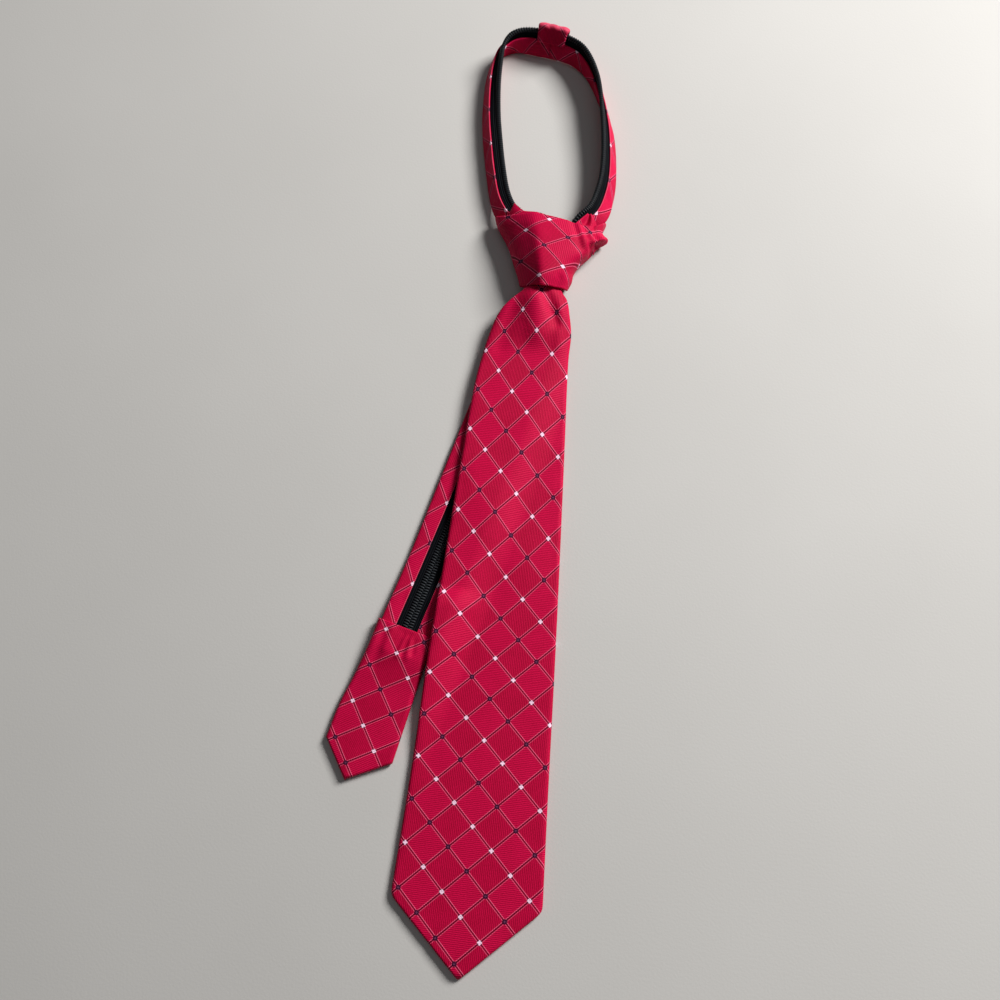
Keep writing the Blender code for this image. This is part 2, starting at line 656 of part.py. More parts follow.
def zipper_slider(parent, metal):
    """The plain slider in the knot: two plates joined by a post between the parting coils."""
    middle_y = MOUTH_Y + KNOT_LENGTH * 0.40
    height = STRAP_LIFT + BAND_THICKNESS / 2
    gap = COIL_HEIGHT / 2 / math.cos(math.pi / 8) + CLEARANCE
    post_y = MOUTH_Y + KNOT_LENGTH * 0.535

    def block(name, wide, long, low, high, y):
        corners = []
        for end in (-0.5, 0.5):
            for a, z in ((-0.5, low), (0.5, low), (0.5, high), (-0.5, high)):
                corners.append(Vector((KNOT_SHIFT + a * wide, y + end * long, z)))
        return new_object(name, loft((corners[:4], corners[4:])), metal, parent)

    low, high = height - gap, height + gap
    slider = block("zipper_slider", SLIDER_WIDTH, SLIDER_LENGTH, low - SLIDER_PLATE, low, middle_y)
    upper = block("slider_top", SLIDER_WIDTH, SLIDER_LENGTH, high, high + SLIDER_PLATE, middle_y)
    post = block("slider_post", SLIDER_POST_WIDTH, SLIDER_LENGTH * 0.1, low - SLIDER_PLATE / 2,
                 high + SLIDER_PLATE / 2, post_y - SLIDER_LENGTH * 0.1)
    for piece in (upper, post):
        piece.hide_render = True
        piece.display_type = "WIRE"
        join = slider.modifiers.new("join", "BOOLEAN")
        join.operation = "UNION"
        join.object = piece
    return slider


def centre_on_floor(root):
    """Move the empty so that the origin is the middle of the outline, on the floor."""
    corners = []
    for thing in root.children:
        if not thing.hide_render:
            corners += [vertex.co.copy() for vertex in thing.data.vertices]
    low = [min(corner[axis] for corner in corners) for axis in range(3)]
    high = [max(corner[axis] for corner in corners) for axis in range(3)]
    root.location = (-(low[0] + high[0]) / 2, -(low[1] + high[1]) / 2, FLOOR - low[2])


def main():
    for thing in list(bpy.data.objects):
        bpy.data.objects.remove(thing)
    root = bpy.data.objects.new("tie", None)
    bpy.context.scene.collection.objects.link(root)
    cloth = surface("red_cloth", (0.45, 0.008, 0.035), 0.55)
    webbing = surface("zipper_webbing", (0.012, 0.013, 0.018), 0.75)
    nylon = surface("zipper_nylon", (0.015, 0.016, 0.022), 0.4)
    metal = surface("slider_metal", (0.05, 0.05, 0.055), 0.35, 1.0)
    front_blade(root, cloth)
    knot(root, cloth)
    knot_fold("knot_left_fold", LEFT_FOLD, root, cloth)
    knot_fold("knot_right_fold", RIGHT_FOLD, root, cloth)
    left = strap("left", LEFT_ROWS, RIGHT_ROWS[1], -1, root, cloth, webbing, nylon)
    right = strap("right", RIGHT_ROWS, LEFT_ROWS[1], 1, root, cloth, webbing, nylon)
    tail_cap(root, cloth)
    neck_tab(left, right, root, cloth)
    zipper_slider(root, metal)
    centre_on_floor(root)


main()
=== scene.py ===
"""Looks of a child's pre-tied zipper necktie, lying on its back on a pale floor.

Pieces are laid out as the solids are: in metres from the blade's point, on the blade's own axis, and
then shifted onto the frame. The cloth carries flat coordinates, in metres along its two threads, so
that one woven lattice runs over the blade, the knot, the straps and the cap at its real size.
"""

import math
from collections import namedtuple
from math import cos, exp, hypot, pi, sin, sqrt, tau

import bmesh
import bpy
import numpy as np
from mathutils import Matrix, Vector, noise


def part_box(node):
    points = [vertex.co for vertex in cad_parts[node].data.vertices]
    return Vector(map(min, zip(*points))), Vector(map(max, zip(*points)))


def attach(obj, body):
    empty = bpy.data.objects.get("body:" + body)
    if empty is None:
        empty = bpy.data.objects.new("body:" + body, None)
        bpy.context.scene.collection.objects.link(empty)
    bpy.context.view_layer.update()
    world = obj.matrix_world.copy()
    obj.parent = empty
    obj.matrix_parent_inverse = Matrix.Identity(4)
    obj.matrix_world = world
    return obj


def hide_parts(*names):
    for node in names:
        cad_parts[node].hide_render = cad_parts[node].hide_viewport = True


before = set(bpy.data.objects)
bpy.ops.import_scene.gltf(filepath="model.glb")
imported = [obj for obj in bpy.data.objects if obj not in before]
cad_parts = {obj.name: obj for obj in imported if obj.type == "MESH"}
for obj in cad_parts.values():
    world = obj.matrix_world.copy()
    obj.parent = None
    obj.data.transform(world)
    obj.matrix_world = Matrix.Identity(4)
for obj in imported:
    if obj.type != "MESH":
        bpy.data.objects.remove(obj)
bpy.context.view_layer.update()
scene = bpy.context.scene
blade_low, blade_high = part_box("front_blade")
SHIFT = Vector(((blade_low.x + blade_high.x) / 2, blade_low.y, 0.0))
MM = 0.001


def table(columns, *rows):
    """Rows with named columns."""
    Row = namedtuple("Row", columns)
    return tuple(Row(*row) for row in rows)


# Sizes as in the solids
CLEARANCE = 0.0003
BLADE_LENGTH = 0.3180
BLADE_WIDTH = blade_high.x - blade_low.x
BLADE_POINT = 0.0300
BLADE_THICKNESS = 0.0030
KNOT_SHIFT = 0.0063
KNOT_LENGTH = 0.0410
KNOT_MOUTH_WIDTH = 0.0266
KNOT_TOP_WIDTH = 0.0575
KNOT_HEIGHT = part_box("knot")[1].z
KNOT_WALL = 0.0016
LOOP_WIDTH = 0.0750
LOOP_LENGTH = 0.1150
BAND_WIDTH = 0.0085
BAND_THICKNESS = 0.0030
TAPE_THICKNESS = 0.0010
ZIP_WIDTH = 0.0104
COIL_WIDTH = 0.0021
COIL_HEIGHT = 0.0024
TAIL_ANGLE = math.radians(15.5)
TAIL_LENGTH = 0.1617
TAIL_BEND_DROP = 0.0180
TAIL_BEND_SHIFT = 0.0030
CAP_LENGTH = 0.0745
CAP_WIDTH = 0.0315
CAP_POINT = 0.0146
CAP_WALL = 0.0010
CAP_POCKET = 0.0100
CAP_THICKNESS = 0.0030
TAB_LENGTH = 0.0160
TAB_RISE = 0.0036
TAB_WALL = 0.0014
SLIDER_LENGTH = 0.0110
SLIDER_WIDTH = 0.0086
SLIDER_PLATE = 0.0010

# Woven lattice: lengths of its two cell sides. A weave is where a crossing lies on a piece, and the
# steps to the next crossings along each thread; the dots change colour from one step a to the next
CELL_A = 0.01330
CELL_B = 0.01278
Weave = namedtuple("Weave", "crossing a b")
BLADE_WEAVE = Weave((-0.00432, 0.25193), (-0.00959, -0.00921), (0.00906, -0.00901))
KNOT_WEAVE = Weave((-0.0249, 0.3651), (0.0101, -0.0095), (0.0113, 0.0060))
CAP_WEAVE = Weave((-0.0429, 0.1312), (-0.0118, -0.0061), (0.0063, -0.01045))
BAND_STEP = 0.0092
BAND_WEAVE = Weave((0.0, 0.0), (-BAND_STEP, -BAND_STEP), (BAND_STEP, -BAND_STEP))

# The blade's outline: along, share of its length; flare, from the knot's mouth to the full width;
# lean, share of the knot's shift
BLADE_ROWS = table(
    "along flare lean",
    (0.094, 1.000, 0.00),
    (0.240, 0.910, 0.00),
    (0.443, 0.800, 0.00),
    (0.600, 0.700, 0.00),
    (0.775, 0.580, 0.00),
    (0.840, 0.525, 0.02),
    (0.893, 0.455, 0.16),
    (0.930, 0.400, 0.38),
    (0.962, 0.265, 0.55),
    (0.984, 0.080, 0.88),
    (1.000, -0.110, 1.00),
    (1.090, -0.120, 1.00),
)
# The knot's: shares of its length, of its flare on each side and of its height
KNOT_ROWS = table(
    "along left right height",
    (0.00, 0.00, 0.00, 0.82),
    (0.10, 0.06, 0.09, 0.90),
    (0.23, 0.18, 0.13, 0.96),
    (0.36, 0.29, 0.30, 0.99),
    (0.50, 0.41, 0.58, 1.00),
    (0.65, 0.58, 0.80, 1.00),
    (0.72, 0.68, 1.00, 0.99),
    (0.765, 0.745, 1.13, 0.98),
    (0.82, 0.82, 0.98, 0.97),
    (0.88, 0.90, 0.93, 0.96),
    (1.00, 1.00, 1.02, 0.93),
)

# Section of the knot, from its left foot over the ridge to its right foot and back: turn, place on
# the way round; across and crown, shares of the half-width and height; reach and sag, as in the solid
SECTION = table(
    "turn across crown reach sag",
    (0.00, -0.86, 0.030, 0.97, 0.13),
    (0.04, -0.98, 0.150, 0.98, 0.11),
    (0.08, -1.00, 0.340, 1.00, 0.09),
    (0.14, -0.90, 0.520, 0.96, 0.04),
    (0.22, -0.66, 0.740, 0.93, 0.02),
    (0.29, -0.40, 0.920, 0.91, 0.00),
    (0.32, -0.27, 0.985, 0.91, -0.01),
    (0.34, -0.18, 1.000, 0.90, -0.015),
    (0.37, -0.05, 0.990, 0.89, -0.02),
    (0.44, 0.26, 0.945, 0.86, -0.01),
    (0.52, 0.56, 0.870, 0.82, 0.00),
    (0.59, 0.80, 0.750, 0.84, 0.01),
    (0.65, 0.95, 0.540, 0.94, 0.03),
    (0.70, 1.00, 0.340, 1.00, 0.06),
    (0.74, 0.98, 0.150, 0.98, 0.10),
    (0.78, 0.86, 0.030, 0.97, 0.13),
    (0.84, 0.40, 0.004, 0.96, 0.13),
    (0.89, 0.00, 0.002, 0.96, 0.13),
    (0.94, -0.40, 0.004, 0.96, 0.13),
    (1.00, -0.86, 0.030, 0.97, 0.13),
)
RIDGE_LEAN = 0.16

# Where the straps run, in the knot and round the loop, in shares of the knot's and the loop's sizes;
# leans of band and zipper in degrees; width, share of the band's
INNER_ROWS = table(
    "along spread rise band_lean zip_lean width",
    (0.95, 0.195, 0.165, 38, 8, 0.82),
    (0.79, 0.150, 0.160, 16, 6, 0.75),
    (0.61, 0.078, 0.185, 0, 0, 0.66),
    (0.44, 0.017, 0.190, 0, 0, 0.58),
    (0.24, 0.000, 0.190, 0, 0, 0.53),
    (0.00, 0.000, 0.190, 0, 0, 0.53),
)
LOOP_COLUMNS = "across along rise band_lean zip_lean width"
TAB_ROW = (-0.117, 0.962, 0.0, 124, 125, 1.13)
LEFT_ROWS = table(
    LOOP_COLUMNS,
    TAB_ROW,
    (-0.210, 0.972, 0.0, 123, 124, 1.12),
    (-0.311, 0.975, 0.0, 117, 117, 1.08),
    (-0.412, 0.953, 0.0, 97, 92, 1.04),
    (-0.480, 0.900, 0.0, 77, 62, 1.00),
    (-0.509, 0.809, 0.0, 66, 36, 1.00),
    (-0.511, 0.681, 0.0, 62, 22, 1.00),
    (-0.492, 0.530, 0.0, 58, 8, 1.00),
    (-0.457, 0.391, 0.0, 56, 0, 1.00),
    (-0.415, 0.252, 0.0, 56, 0, 1.00),
    (-0.364, 0.122, 0.0, 53, 2, 1.00),
    (-0.301, 0.036, 0.100, 40, 0, 0.95),
)
RIGHT_ROWS = table(
    LOOP_COLUMNS,
    TAB_ROW,
    (-0.011, 0.941, 0.0, 121, 122, 1.12),
    (0.089, 0.902, 0.0, 113, 114, 1.10),
    (0.169, 0.835, 0.0, 102, 102, 1.06),
    (0.229, 0.752, 0.0, 94, 94, 1.02),
    (0.267, 0.678, 0.0, 88, 84, 1.00),
    (0.299, 0.600, 0.0, 78, 70, 1.00),
    (0.334, 0.491, 0.0, 69, 55, 1.00),
    (0.357, 0.357, 0.0, 64, 48, 1.00),
    (0.363, 0.235, 0.0, 61, 40, 1.00),
    (0.346, 0.142, 0.0, 55, 32, 1.00),
    (0.306, 0.050, 0.110, 43, 22, 0.95),
)
TAIL_ROWS = table(
    "along width",
    (0.00, 0.92),
    (0.12, 1.10),
    (0.25, 1.13),
    (0.50, 1.02),
    (0.80, 0.89),
    (1.00, 0.89),
)
CAP_ROWS = table(
    "along left right swell",
    (0.00, 0.90, 0.91, 1.00),
    (0.08, 0.88, 0.91, 1.00),
    (0.17, 0.87, 0.91, 0.98),
    (0.27, 0.89, 0.94, 0.62),
    (0.40, 0.92, 0.97, 0.28),
    (0.60, 0.99, 1.03, 0.08),
    (0.795, 0.965, 1.09, 0.00),
)


def smooth(share):
    """A smooth step from 0 to 1."""
    share = min(1.0, max(0.0, share))
    return share * share * (3.0 - 2.0 * share)


def read(rows, keys, at):
    """The columns of a table at a place between its rows, on smooth curves through them."""
    last = len(rows) - 1
    at = min(max(at, keys[0]), keys[-1])
    low = 0
    while low < last - 1 and at > keys[low + 1]:
        low += 1
    span = keys[low + 1] - keys[low]
    t = (at - keys[low]) / span
    values = []
    for column in range(len(rows[0])):
        before, after = rows[low][column], rows[low + 1][column]
        slopes = []
        for row in (low, low + 1):
            back, ahead = max(row - 1, 0), min(row + 1, last)
            rise = rows[ahead][column] - rows[back][column]
            slopes.append(rise / (keys[ahead] - keys[back]) * span)
        values.append(
            before * (2 * t**3 - 3 * t**2 + 1)
            + slopes[0] * (t**3 - 2 * t**2 + t)
            + after * (3 * t**2 - 2 * t**3)
            + slopes[1] * (t**3 - t**2)
        )
    return type(rows[0])(*values)


def read_along(rows, at):
    return read(rows, [row.along for row in rows], at)


MOUTH_Y = BLADE_LENGTH
TOP_Y = MOUTH_Y + KNOT_LENGTH
TAIL_WAY = Vector((sin(TAIL_ANGLE), cos(TAIL_ANGLE), 0.0))
TAIL_SIDE = Vector((cos(TAIL_ANGLE), -sin(TAIL_ANGLE), 0.0))
TAIL_BEND = Vector((KNOT_SHIFT - TAIL_BEND_SHIFT, MOUTH_Y - TAIL_BEND_DROP, 0.0))
ZIP_END = TAIL_BEND - TAIL_WAY * TAIL_LENGTH
CAP_MOUTH_HEIGHT = BAND_THICKNESS + 2 * CLEARANCE + 2 * CAP_WALL
STRAP_LIFT = INNER_ROWS[-1].rise * KNOT_HEIGHT
ZIP_HALF = ZIP_WIDTH / 2 - CLEARANCE / 2


def lattice(x, y, weave):
    """Flat cloth coordinates of a place: how far along each thread it lies from a crossing."""
    dx, dy = x - weave.crossing[0], y - weave.crossing[1]
    scale = weave.a[0] * weave.b[1] - weave.b[0] * weave.a[1]
    a = (weave.b[1] * dx - weave.b[0] * dy) / scale
    b = (weave.a[0] * dy - weave.a[1] * dx) / scale
    return a * CELL_A, b * CELL_B


def crease(x, y, start, end, wide, depth):
    """Height of a soft ridge, or a groove if depth is negative, along a line that fades at its ends."""
    sx, sy = start
    ex, ey = end[0] - sx, end[1] - sy
    length = hypot(ex, ey)
    along = ((x - sx) * ex + (y - sy) * ey) / length
    aside = ((x - sx) * ey - (y - sy) * ex) / length
    past = max(0.0, -along, along - length)
    return depth * exp(-((aside * aside + past * past) / (wide * wide)))


def bend_places(steps, whole=pi, start=0.0):
    """Angle, sine and cosine at the places of an arc, without its ends."""
    angles = [start + whole * k / steps for k in range(1, steps)]
    return [(angle, sin(angle), cos(angle)) for angle in angles]


def ripple(x, y, size, seed):
    """Gentle unevenness of cloth, from -1 to 1."""
    return noise.noise(Vector((x / size, y / size, seed)))


def skin(name, points, flat, material, nodes, closed_rows=False, painted_highlight=None):
    """A piece over a grid of points, closed round each row, with its flat coordinates as UVs.

    With closed_rows its last row meets its first. Otherwise both are capped.
    """
    points, flat = np.array(points, float), np.array(flat, float)
    rows, columns = points.shape[:2]
    count = columns - 1
    used = rows - 1 if closed_rows else rows
    places = points[:used, :count].reshape(-1, 3) + np.array(SHIFT)
    faces, corners = [], []
    for r in range(rows - 1):
        after = (r + 1) % used
        for c in range(count):
            n = (c + 1) % count
            faces.append((r * count + c, r * count + n, after * count + n, after * count + c))
            corners += [flat[r, c], flat[r, c + 1], flat[r + 1, c + 1], flat[r + 1, c]]
    if not closed_rows:
        for r in (0, used - 1):
            faces.append(tuple(range(r * count, r * count + count)))
            corners += list(flat[r, :count])
    mesh = bpy.data.meshes.new(name)
    mesh.from_pydata(places.tolist(), [], faces)
    layer = mesh.uv_layers.new(name="flat")
    layer.data.foreach_set("uv", np.array(corners, np.float32).ravel())
    # How much painted highlight each point gets, as a point attribute
    if painted_highlight is not None:
        mark = mesh.attributes.new("painted_highlight", "FLOAT", "POINT")
        mark.data.foreach_set("value", np.array(painted_highlight, np.float32)[:used, :count].ravel())
    shape = bmesh.new()
    shape.from_mesh(mesh)
    bmesh.ops.recalc_face_normals(shape, faces=shape.faces)
    shape.to_mesh(mesh)
    shape.free()
    mesh.shade_smooth()
    return add(name, mesh, material, nodes)


def show(name, data):
    """An object with this data, linked into the scene."""
    thing = bpy.data.objects.new(name, data)
    scene.collection.objects.link(thing)
    return thing


def add(name, mesh, material, nodes):
    """Put a mesh in the scene as a piece that rides on the tie and stands for its solids."""
    thing = show(name, mesh)
    mesh.materials.append(material)
    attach(thing, "root")
    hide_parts(*nodes)
    return thing


class Nodes:
    """Builds the nodes of one material."""

    def __init__(self, name):
        self.material = bpy.data.materials.new(name)
        self.material.use_nodes = True
        self.tree = self.material.node_tree
        self.shader = self.tree.nodes["Principled BSDF"]

    def put(self, kind, **settings):
        node = self.tree.nodes.new(kind)
        for name, value in settings.items():
            setattr(node, name, value)
        return node

    def link(self, value, socket):
        if isinstance(value, bpy.types.NodeSocket):
            self.tree.links.new(value, socket)
        else:
            socket.default_value = value

    def calc(self, operation, *values, clamp=False):
        node = self.put("ShaderNodeMath", operation=operation, use_clamp=clamp)
        for socket, value in zip(node.inputs, values):
            self.link(value, socket)
        return node.outputs[0]

    def times(self, *values, clamp=False):
        return self.calc("MULTIPLY", *values, clamp=clamp)

    def scaled(self, value, factor, offset, clamp=False):
        return self.calc("MULTIPLY_ADD", value, factor, offset, clamp=clamp)

    def most(self, *values):
        return self.calc("MAXIMUM", *values)

    def step(self, value, low, high):
        """0 below low and 1 above high, smooth between; the other way round if low is above high."""
        node = self.put("ShaderNodeMapRange", interpolation_type="SMOOTHSTEP")
        for socket, given in zip(node.inputs, (value, low, high, 0.0, 1.0)):
            self.link(given, socket)
        return node.outputs[0]

    def line(self, offset, half, soft):
        """1 within half of the middle, with soft edges."""
        return self.step(self.calc("ABSOLUTE", offset), half + soft, half - soft)

    def mix(self, share, first, second):
        node = self.put("ShaderNodeMix", data_type="RGBA")
        for socket, given in zip((node.inputs[0], node.inputs[6], node.inputs[7]), (share, first, second)):
            self.link(given, socket)
        return node.outputs[2]

    def noise(self, vector, scale, detail=2.0):
        node = self.put("ShaderNodeTexNoise")
        node.inputs["Scale"].default_value = scale
        node.inputs["Detail"].default_value = detail
        self.link(vector, node.inputs["Vector"])
        return node.outputs["Fac"]

    def flat(self):
        """The two flat coordinates, and the pair of them as a vector."""
        source = self.put("ShaderNodeUVMap", uv_map="flat")
        split = self.put("ShaderNodeSeparateXYZ")
        self.link(source.outputs["UV"], split.inputs[0])
        return split.outputs["X"], split.outputs["Y"], source.outputs["UV"]

    def look(self, colour, roughness):
        self.link(colour, self.shader.inputs["Base Color"])
        self.link(roughness, self.shader.inputs["Roughness"])

    def bump(self, height, distance):
        node = self.put("ShaderNodeBump")
        node.inputs["Strength"].default_value = 1.0
        node.inputs["Distance"].default_value = distance
        self.link(height, node.inputs["Height"])
        self.link(node.outputs["Normal"], self.shader.inputs["Normal"])

    def set(self, **values):
        for name, value in values.items():
            self.shader.inputs[name.replace("_", " ")].default_value = value


CRIMSON = (0.630, 0.0028, 0.062, 1.0)
CRIMSON_DEEP = (0.380, 0.0010, 0.028, 1.0)
MAROON = (0.100, 0.0004, 0.012, 1.0)
PINK = (0.950, 0.150, 0.290, 1.0)
NAVY = (0.040, 0.003, 0.024, 1.0)
NAVY_CORE = (0.200, 0.060, 0.130, 1.0)
WHITE = (0.950, 0.660, 0.820, 1.0)
# Painted highlight: a lighter pink for folded edges, as if they caught the light
HIGHLIGHT_PINK = (0.860, 0.230, 0.320, 1.0)
RIB = 0.00080
DARK_HALF = 0.28 * MM
PINK_ASIDE = 0.50 * MM
BEAD = 0.90 * MM


def woven_cloth(name):
    """Crimson silk with a jacquard lattice: a dark thread between two pink ones, and dots at crossings."""
    n = Nodes(name)
    u, v, both = n.flat()
    offs, nearest, cells = [], [], []
    for value, cell in ((u, CELL_A), (v, CELL_B)):
        share = n.calc("DIVIDE", value, cell)
        nearest.append(n.calc("ROUND", share))
        offs.append(n.times(n.calc("SUBTRACT", share, nearest[-1]), cell))
        cells.append(n.calc("FLOOR", share))
    checker = n.calc("PINGPONG", n.calc("ADD", *cells), 1.0)
    wobble = n.times(n.calc("SUBTRACT", n.noise(both, 900.0), 0.5), 0.0004)
    ribs = []
    for operation in ("ADD", "SUBTRACT"):
        way = n.times(n.calc(operation, u, v), sqrt(0.5))
        turns = n.times(n.calc("ADD", way, wobble), tau / RIB)
        ribs.append(n.scaled(n.calc("SINE", turns), 0.5, 0.5))
    other_cells = n.times(ribs[1], n.calc("SUBTRACT", 1.0, checker))
    rib = n.calc("ADD", n.times(ribs[0], checker), other_cells)
    dark, pink = [], []
    for off, other, depth, break_up in ((offs[0], v, 0.70, 0.25), (offs[1], u, 0.90, 0.50)):
        dark.append(n.times(n.line(off, DARK_HALF, 0.06 * MM), depth))
        beads = n.calc("SINE", n.times(other, tau / BEAD))
        dashes = n.scaled(n.step(beads, -0.9, 0.2), break_up, 1.0 - break_up)
        near = n.line(n.calc("ADD", off, PINK_ASIDE), 0.14 * MM, 0.05 * MM)
        far = n.line(n.calc("SUBTRACT", off, PINK_ASIDE), 0.12 * MM, 0.05 * MM)
        pink.append(n.times(dashes, n.most(near, n.times(far, 0.8))))
    dark_all, pink_all = n.most(*dark), n.most(*pink)
    reach = [n.calc("ABSOLUTE", off) for off in offs]
    square = n.most(*reach)
    diamond = n.calc("ADD", *reach)
    dot = n.step(square, 0.92 * MM, 0.70 * MM)
    core = n.step(square, 0.46 * MM, 0.30 * MM)
    around = n.step(diamond, 1.7 * MM, 1.2 * MM)
    patches = n.noise(both, 120.0, 3.0)
    grain = n.noise(both, 1700.0, 3.0)
    by_cell = n.scaled(checker, 0.30, n.scaled(patches, 0.5, -0.15))
    by_rib = n.scaled(rib, 0.35, n.calc("SUBTRACT", by_cell, 0.78))
    lit = n.scaled(grain, 1.8, by_rib, clamp=True)
    ground = n.mix(lit, CRIMSON_DEEP, CRIMSON)
    ground = n.mix(n.times(n.calc("SUBTRACT", 1.0, rib), 0.20), ground, MAROON)
    colour = n.mix(dark_all, ground, MAROON)
    colour = n.mix(n.times(pink_all, 0.80), colour, PINK)
    colour = n.mix(n.times(around, 0.75), colour, NAVY)
    odd = n.mix(n.times(core, 0.6), NAVY, NAVY_CORE)
    tinted = n.mix(n.calc("PINGPONG", nearest[0], 1.0), WHITE, odd)
    colour = n.mix(dot, colour, tinted)
    # Painted highlight: lighter pink, unevenly, where the point attribute marks a folded edge
    mark = n.put("ShaderNodeAttribute", attribute_name="painted_highlight")
    uneven = n.scaled(patches, 0.8, 0.35)
    colour = n.mix(n.times(mark.outputs["Fac"], uneven, clamp=True), colour, HIGHLIGHT_PINK)
    n.look(colour, n.scaled(dot, 0.10, n.scaled(rib, -0.08, 0.60)))
    height = n.scaled(rib, 0.07, n.times(n.noise(both, 2600.0, 1.0), 0.03))
    height = n.scaled(dark_all, -0.05, height)
    height = n.scaled(n.most(pink_all, dot), 0.06, height)
    n.bump(height, MM)
    n.set(Specular_IOR_Level=0.07, Sheen_Weight=0.05, Sheen_Roughness=0.35,
          Sheen_Tint=(1.0, 0.15, 0.30, 1.0))
    return n.material


def webbing(name):
    """Black polyester zipper tape, woven in a fine herringbone."""
    n = Nodes(name)
    u, v, both = n.flat()
    zigzag = n.calc("PINGPONG", u, 0.9 * MM)
    turns = n.times(n.calc("ADD", v, zigzag), tau / (0.55 * MM))
    rib = n.scaled(n.calc("SINE", turns), 0.5, 0.5)
    cords = n.scaled(n.calc("SINE", n.times(u, tau / (0.9 * MM))), 0.5, 0.5)
    lint = n.step(n.noise(both, 1400.0, 3.0), 0.58, 0.75)
    colour = n.mix(n.times(rib, 0.6), (0.0018, 0.0022, 0.0035, 1.0), (0.005, 0.0065, 0.0095, 1.0))
    colour = n.mix(n.times(lint, 0.35), colour, (0.026, 0.032, 0.044, 1.0))
    n.look(colour, n.scaled(rib, -0.12, 0.68))
    n.bump(n.scaled(rib, 0.07, n.times(cords, 0.10)), MM)
    n.set(Specular_IOR_Level=0.05)
    return n.material


def nylon(name):
    """Black monofilament of the coils, glossy where it is rubbed."""
    n = Nodes(name)
    place = n.put("ShaderNodeTexCoord").outputs["Object"]
    rubbed = n.noise(place, 700.0, 3.0)
    colour = n.mix(rubbed, (0.008, 0.010, 0.013, 1.0), (0.024, 0.029, 0.034, 1.0))
    n.look(colour, n.scaled(rubbed, 0.25, 0.42))
    n.bump(n.noise(place, 4000.0, 2.0), 0.02 * MM)
    n.set(Specular_IOR_Level=0.24)
    return n.material


def black_metal(name):
    """Enamelled die-cast slider, worn brighter in places."""
    n = Nodes(name)
    place = n.put("ShaderNodeTexCoord").outputs["Object"]
    chips = n.step(n.noise(place, 1200.0, 4.0), 0.60, 0.70)
    colour = n.mix(chips, (0.015, 0.015, 0.018, 1.0), (0.20, 0.20, 0.21, 1.0))
    n.look(colour, n.scaled(chips, 0.2, 0.3))
    n.link(chips, n.shader.inputs["Metallic"])
    n.bump(n.noise(place, 2500.0, 2.0), 0.03 * MM)
    return n.material


def tail_centre(y):
    """Where the tail's middle lies at a height along the blade, curving up into the mouth."""
    mouth = smooth((y - TAIL_BEND.y) / TAIL_BEND_DROP)
    straight = TAIL_BEND.x + (y - TAIL_BEND.y) * math.tan(TAIL_ANGLE)
    return straight * (1.0 - mouth) + KNOT_SHIFT * mouth


def tail_top(y):
    """Height of what the blade lies on: the cap, then the bands, then their climb to the knot."""
    cap = CAP_MOUTH_HEIGHT * (1.0 - smooth((y - ZIP_END.y - CAP_POCKET) / (2 * CAP_POCKET)))
    climb = 2 * TAIL_BEND_DROP
    bands = BAND_THICKNESS + STRAP_LIFT * smooth((y - MOUTH_Y + climb) / climb)
    return max(cap, bands)


def blade_rest(x, y):
    """Height of the blade's underside: it drapes from the tail down to the floor beside it."""
    half = (BAND_WIDTH * 1.15 + ZIP_HALF) / cos(TAIL_ANGLE)
    drape = 6 * BLADE_THICKNESS
    beside = abs(x - tail_centre(y)) - half - CLEARANCE
    end = smooth((y - ZIP_END.y + CAP_LENGTH) / (4 * drape))
    return (tail_top(y) + CLEARANCE) * (1.0 - smooth(beside / drape)) * end


def blade_half(y):
    """Half the blade's width and its middle, at a distance from the point."""
    row = read_along(BLADE_ROWS, max(y, BLADE_POINT) / BLADE_LENGTH)
    mouth = KNOT_MOUTH_WIDTH - 2 * KNOT_WALL
    sides = (mouth + (BLADE_WIDTH - mouth) * row.flare) / 2
    point = 0.4 * MM + BLADE_WIDTH / 2 * y / BLADE_POINT
    round_off = 0.9 * MM
    gap = (point - sides) / round_off
    if gap > -30:
        point = sides - round_off * math.log1p(exp(-gap))
    return point, KNOT_SHIFT * row.lean


# Forms of the blade's cloth below the knot, from the blade's point: a dimple and the swell beside it
FORM_COLUMNS = "start end wide depth"
BLADE_FORMS = table(
    FORM_COLUMNS,
    ((0.0072, 0.3160), (0.0150, 0.3000), 0.0028, -0.0014),
    ((0.0035, 0.3100), (0.0060, 0.2950), 0.0065, 0.0021),
    ((0.0165, 0.3080), (0.0175, 0.2900), 0.0040, 0.0008),
    ((-0.0065, 0.3100), (-0.0120, 0.2860), 0.0040, -0.0006),
    ((-0.0160, 0.215), (0.0100, 0.175), 0.0130, 0.0005),
    ((-0.0100, 0.130), (-0.0220, 0.085), 0.0100, -0.0003),
)
STRETCH_FROM = 0.150
STRETCH = 2.36e-5
STRETCH_POWER = 1.3
# How far the blade's cloth reaches up into the knot, its arches and its small unevenness
BLADE_TUCK = 0.6
BLADE_ARCH = 1.6 * MM
BLADE_ARCH_REACH = 0.06
MOUTH_ARCH = 0.9 * MM
MOUTH_ARCH_REACH = 0.02
BLADE_RIPPLE = 0.22 * MM
EDGE_RIPPLE = 0.35 * MM
SEAM_RISE = 0.7 * MM
HEM_RISE = 0.5 * MM


def blade_flat(x, y):
    """Flat coordinates on the blade: cut on the bias, it is pulled longer and narrower near the knot."""
    pulled = STRETCH * (max(0.0, y - STRETCH_FROM) / MM) ** STRETCH_POWER
    narrowed = 1.0 + 0.07 * smooth((y - 0.13) / 0.06)
    drawn = 0.10 * max(0.0, 0.005 - x) * smooth((y - 0.24) / 0.05)
    return lattice(x * narrowed - drawn, y - pulled, BLADE_WEAVE)


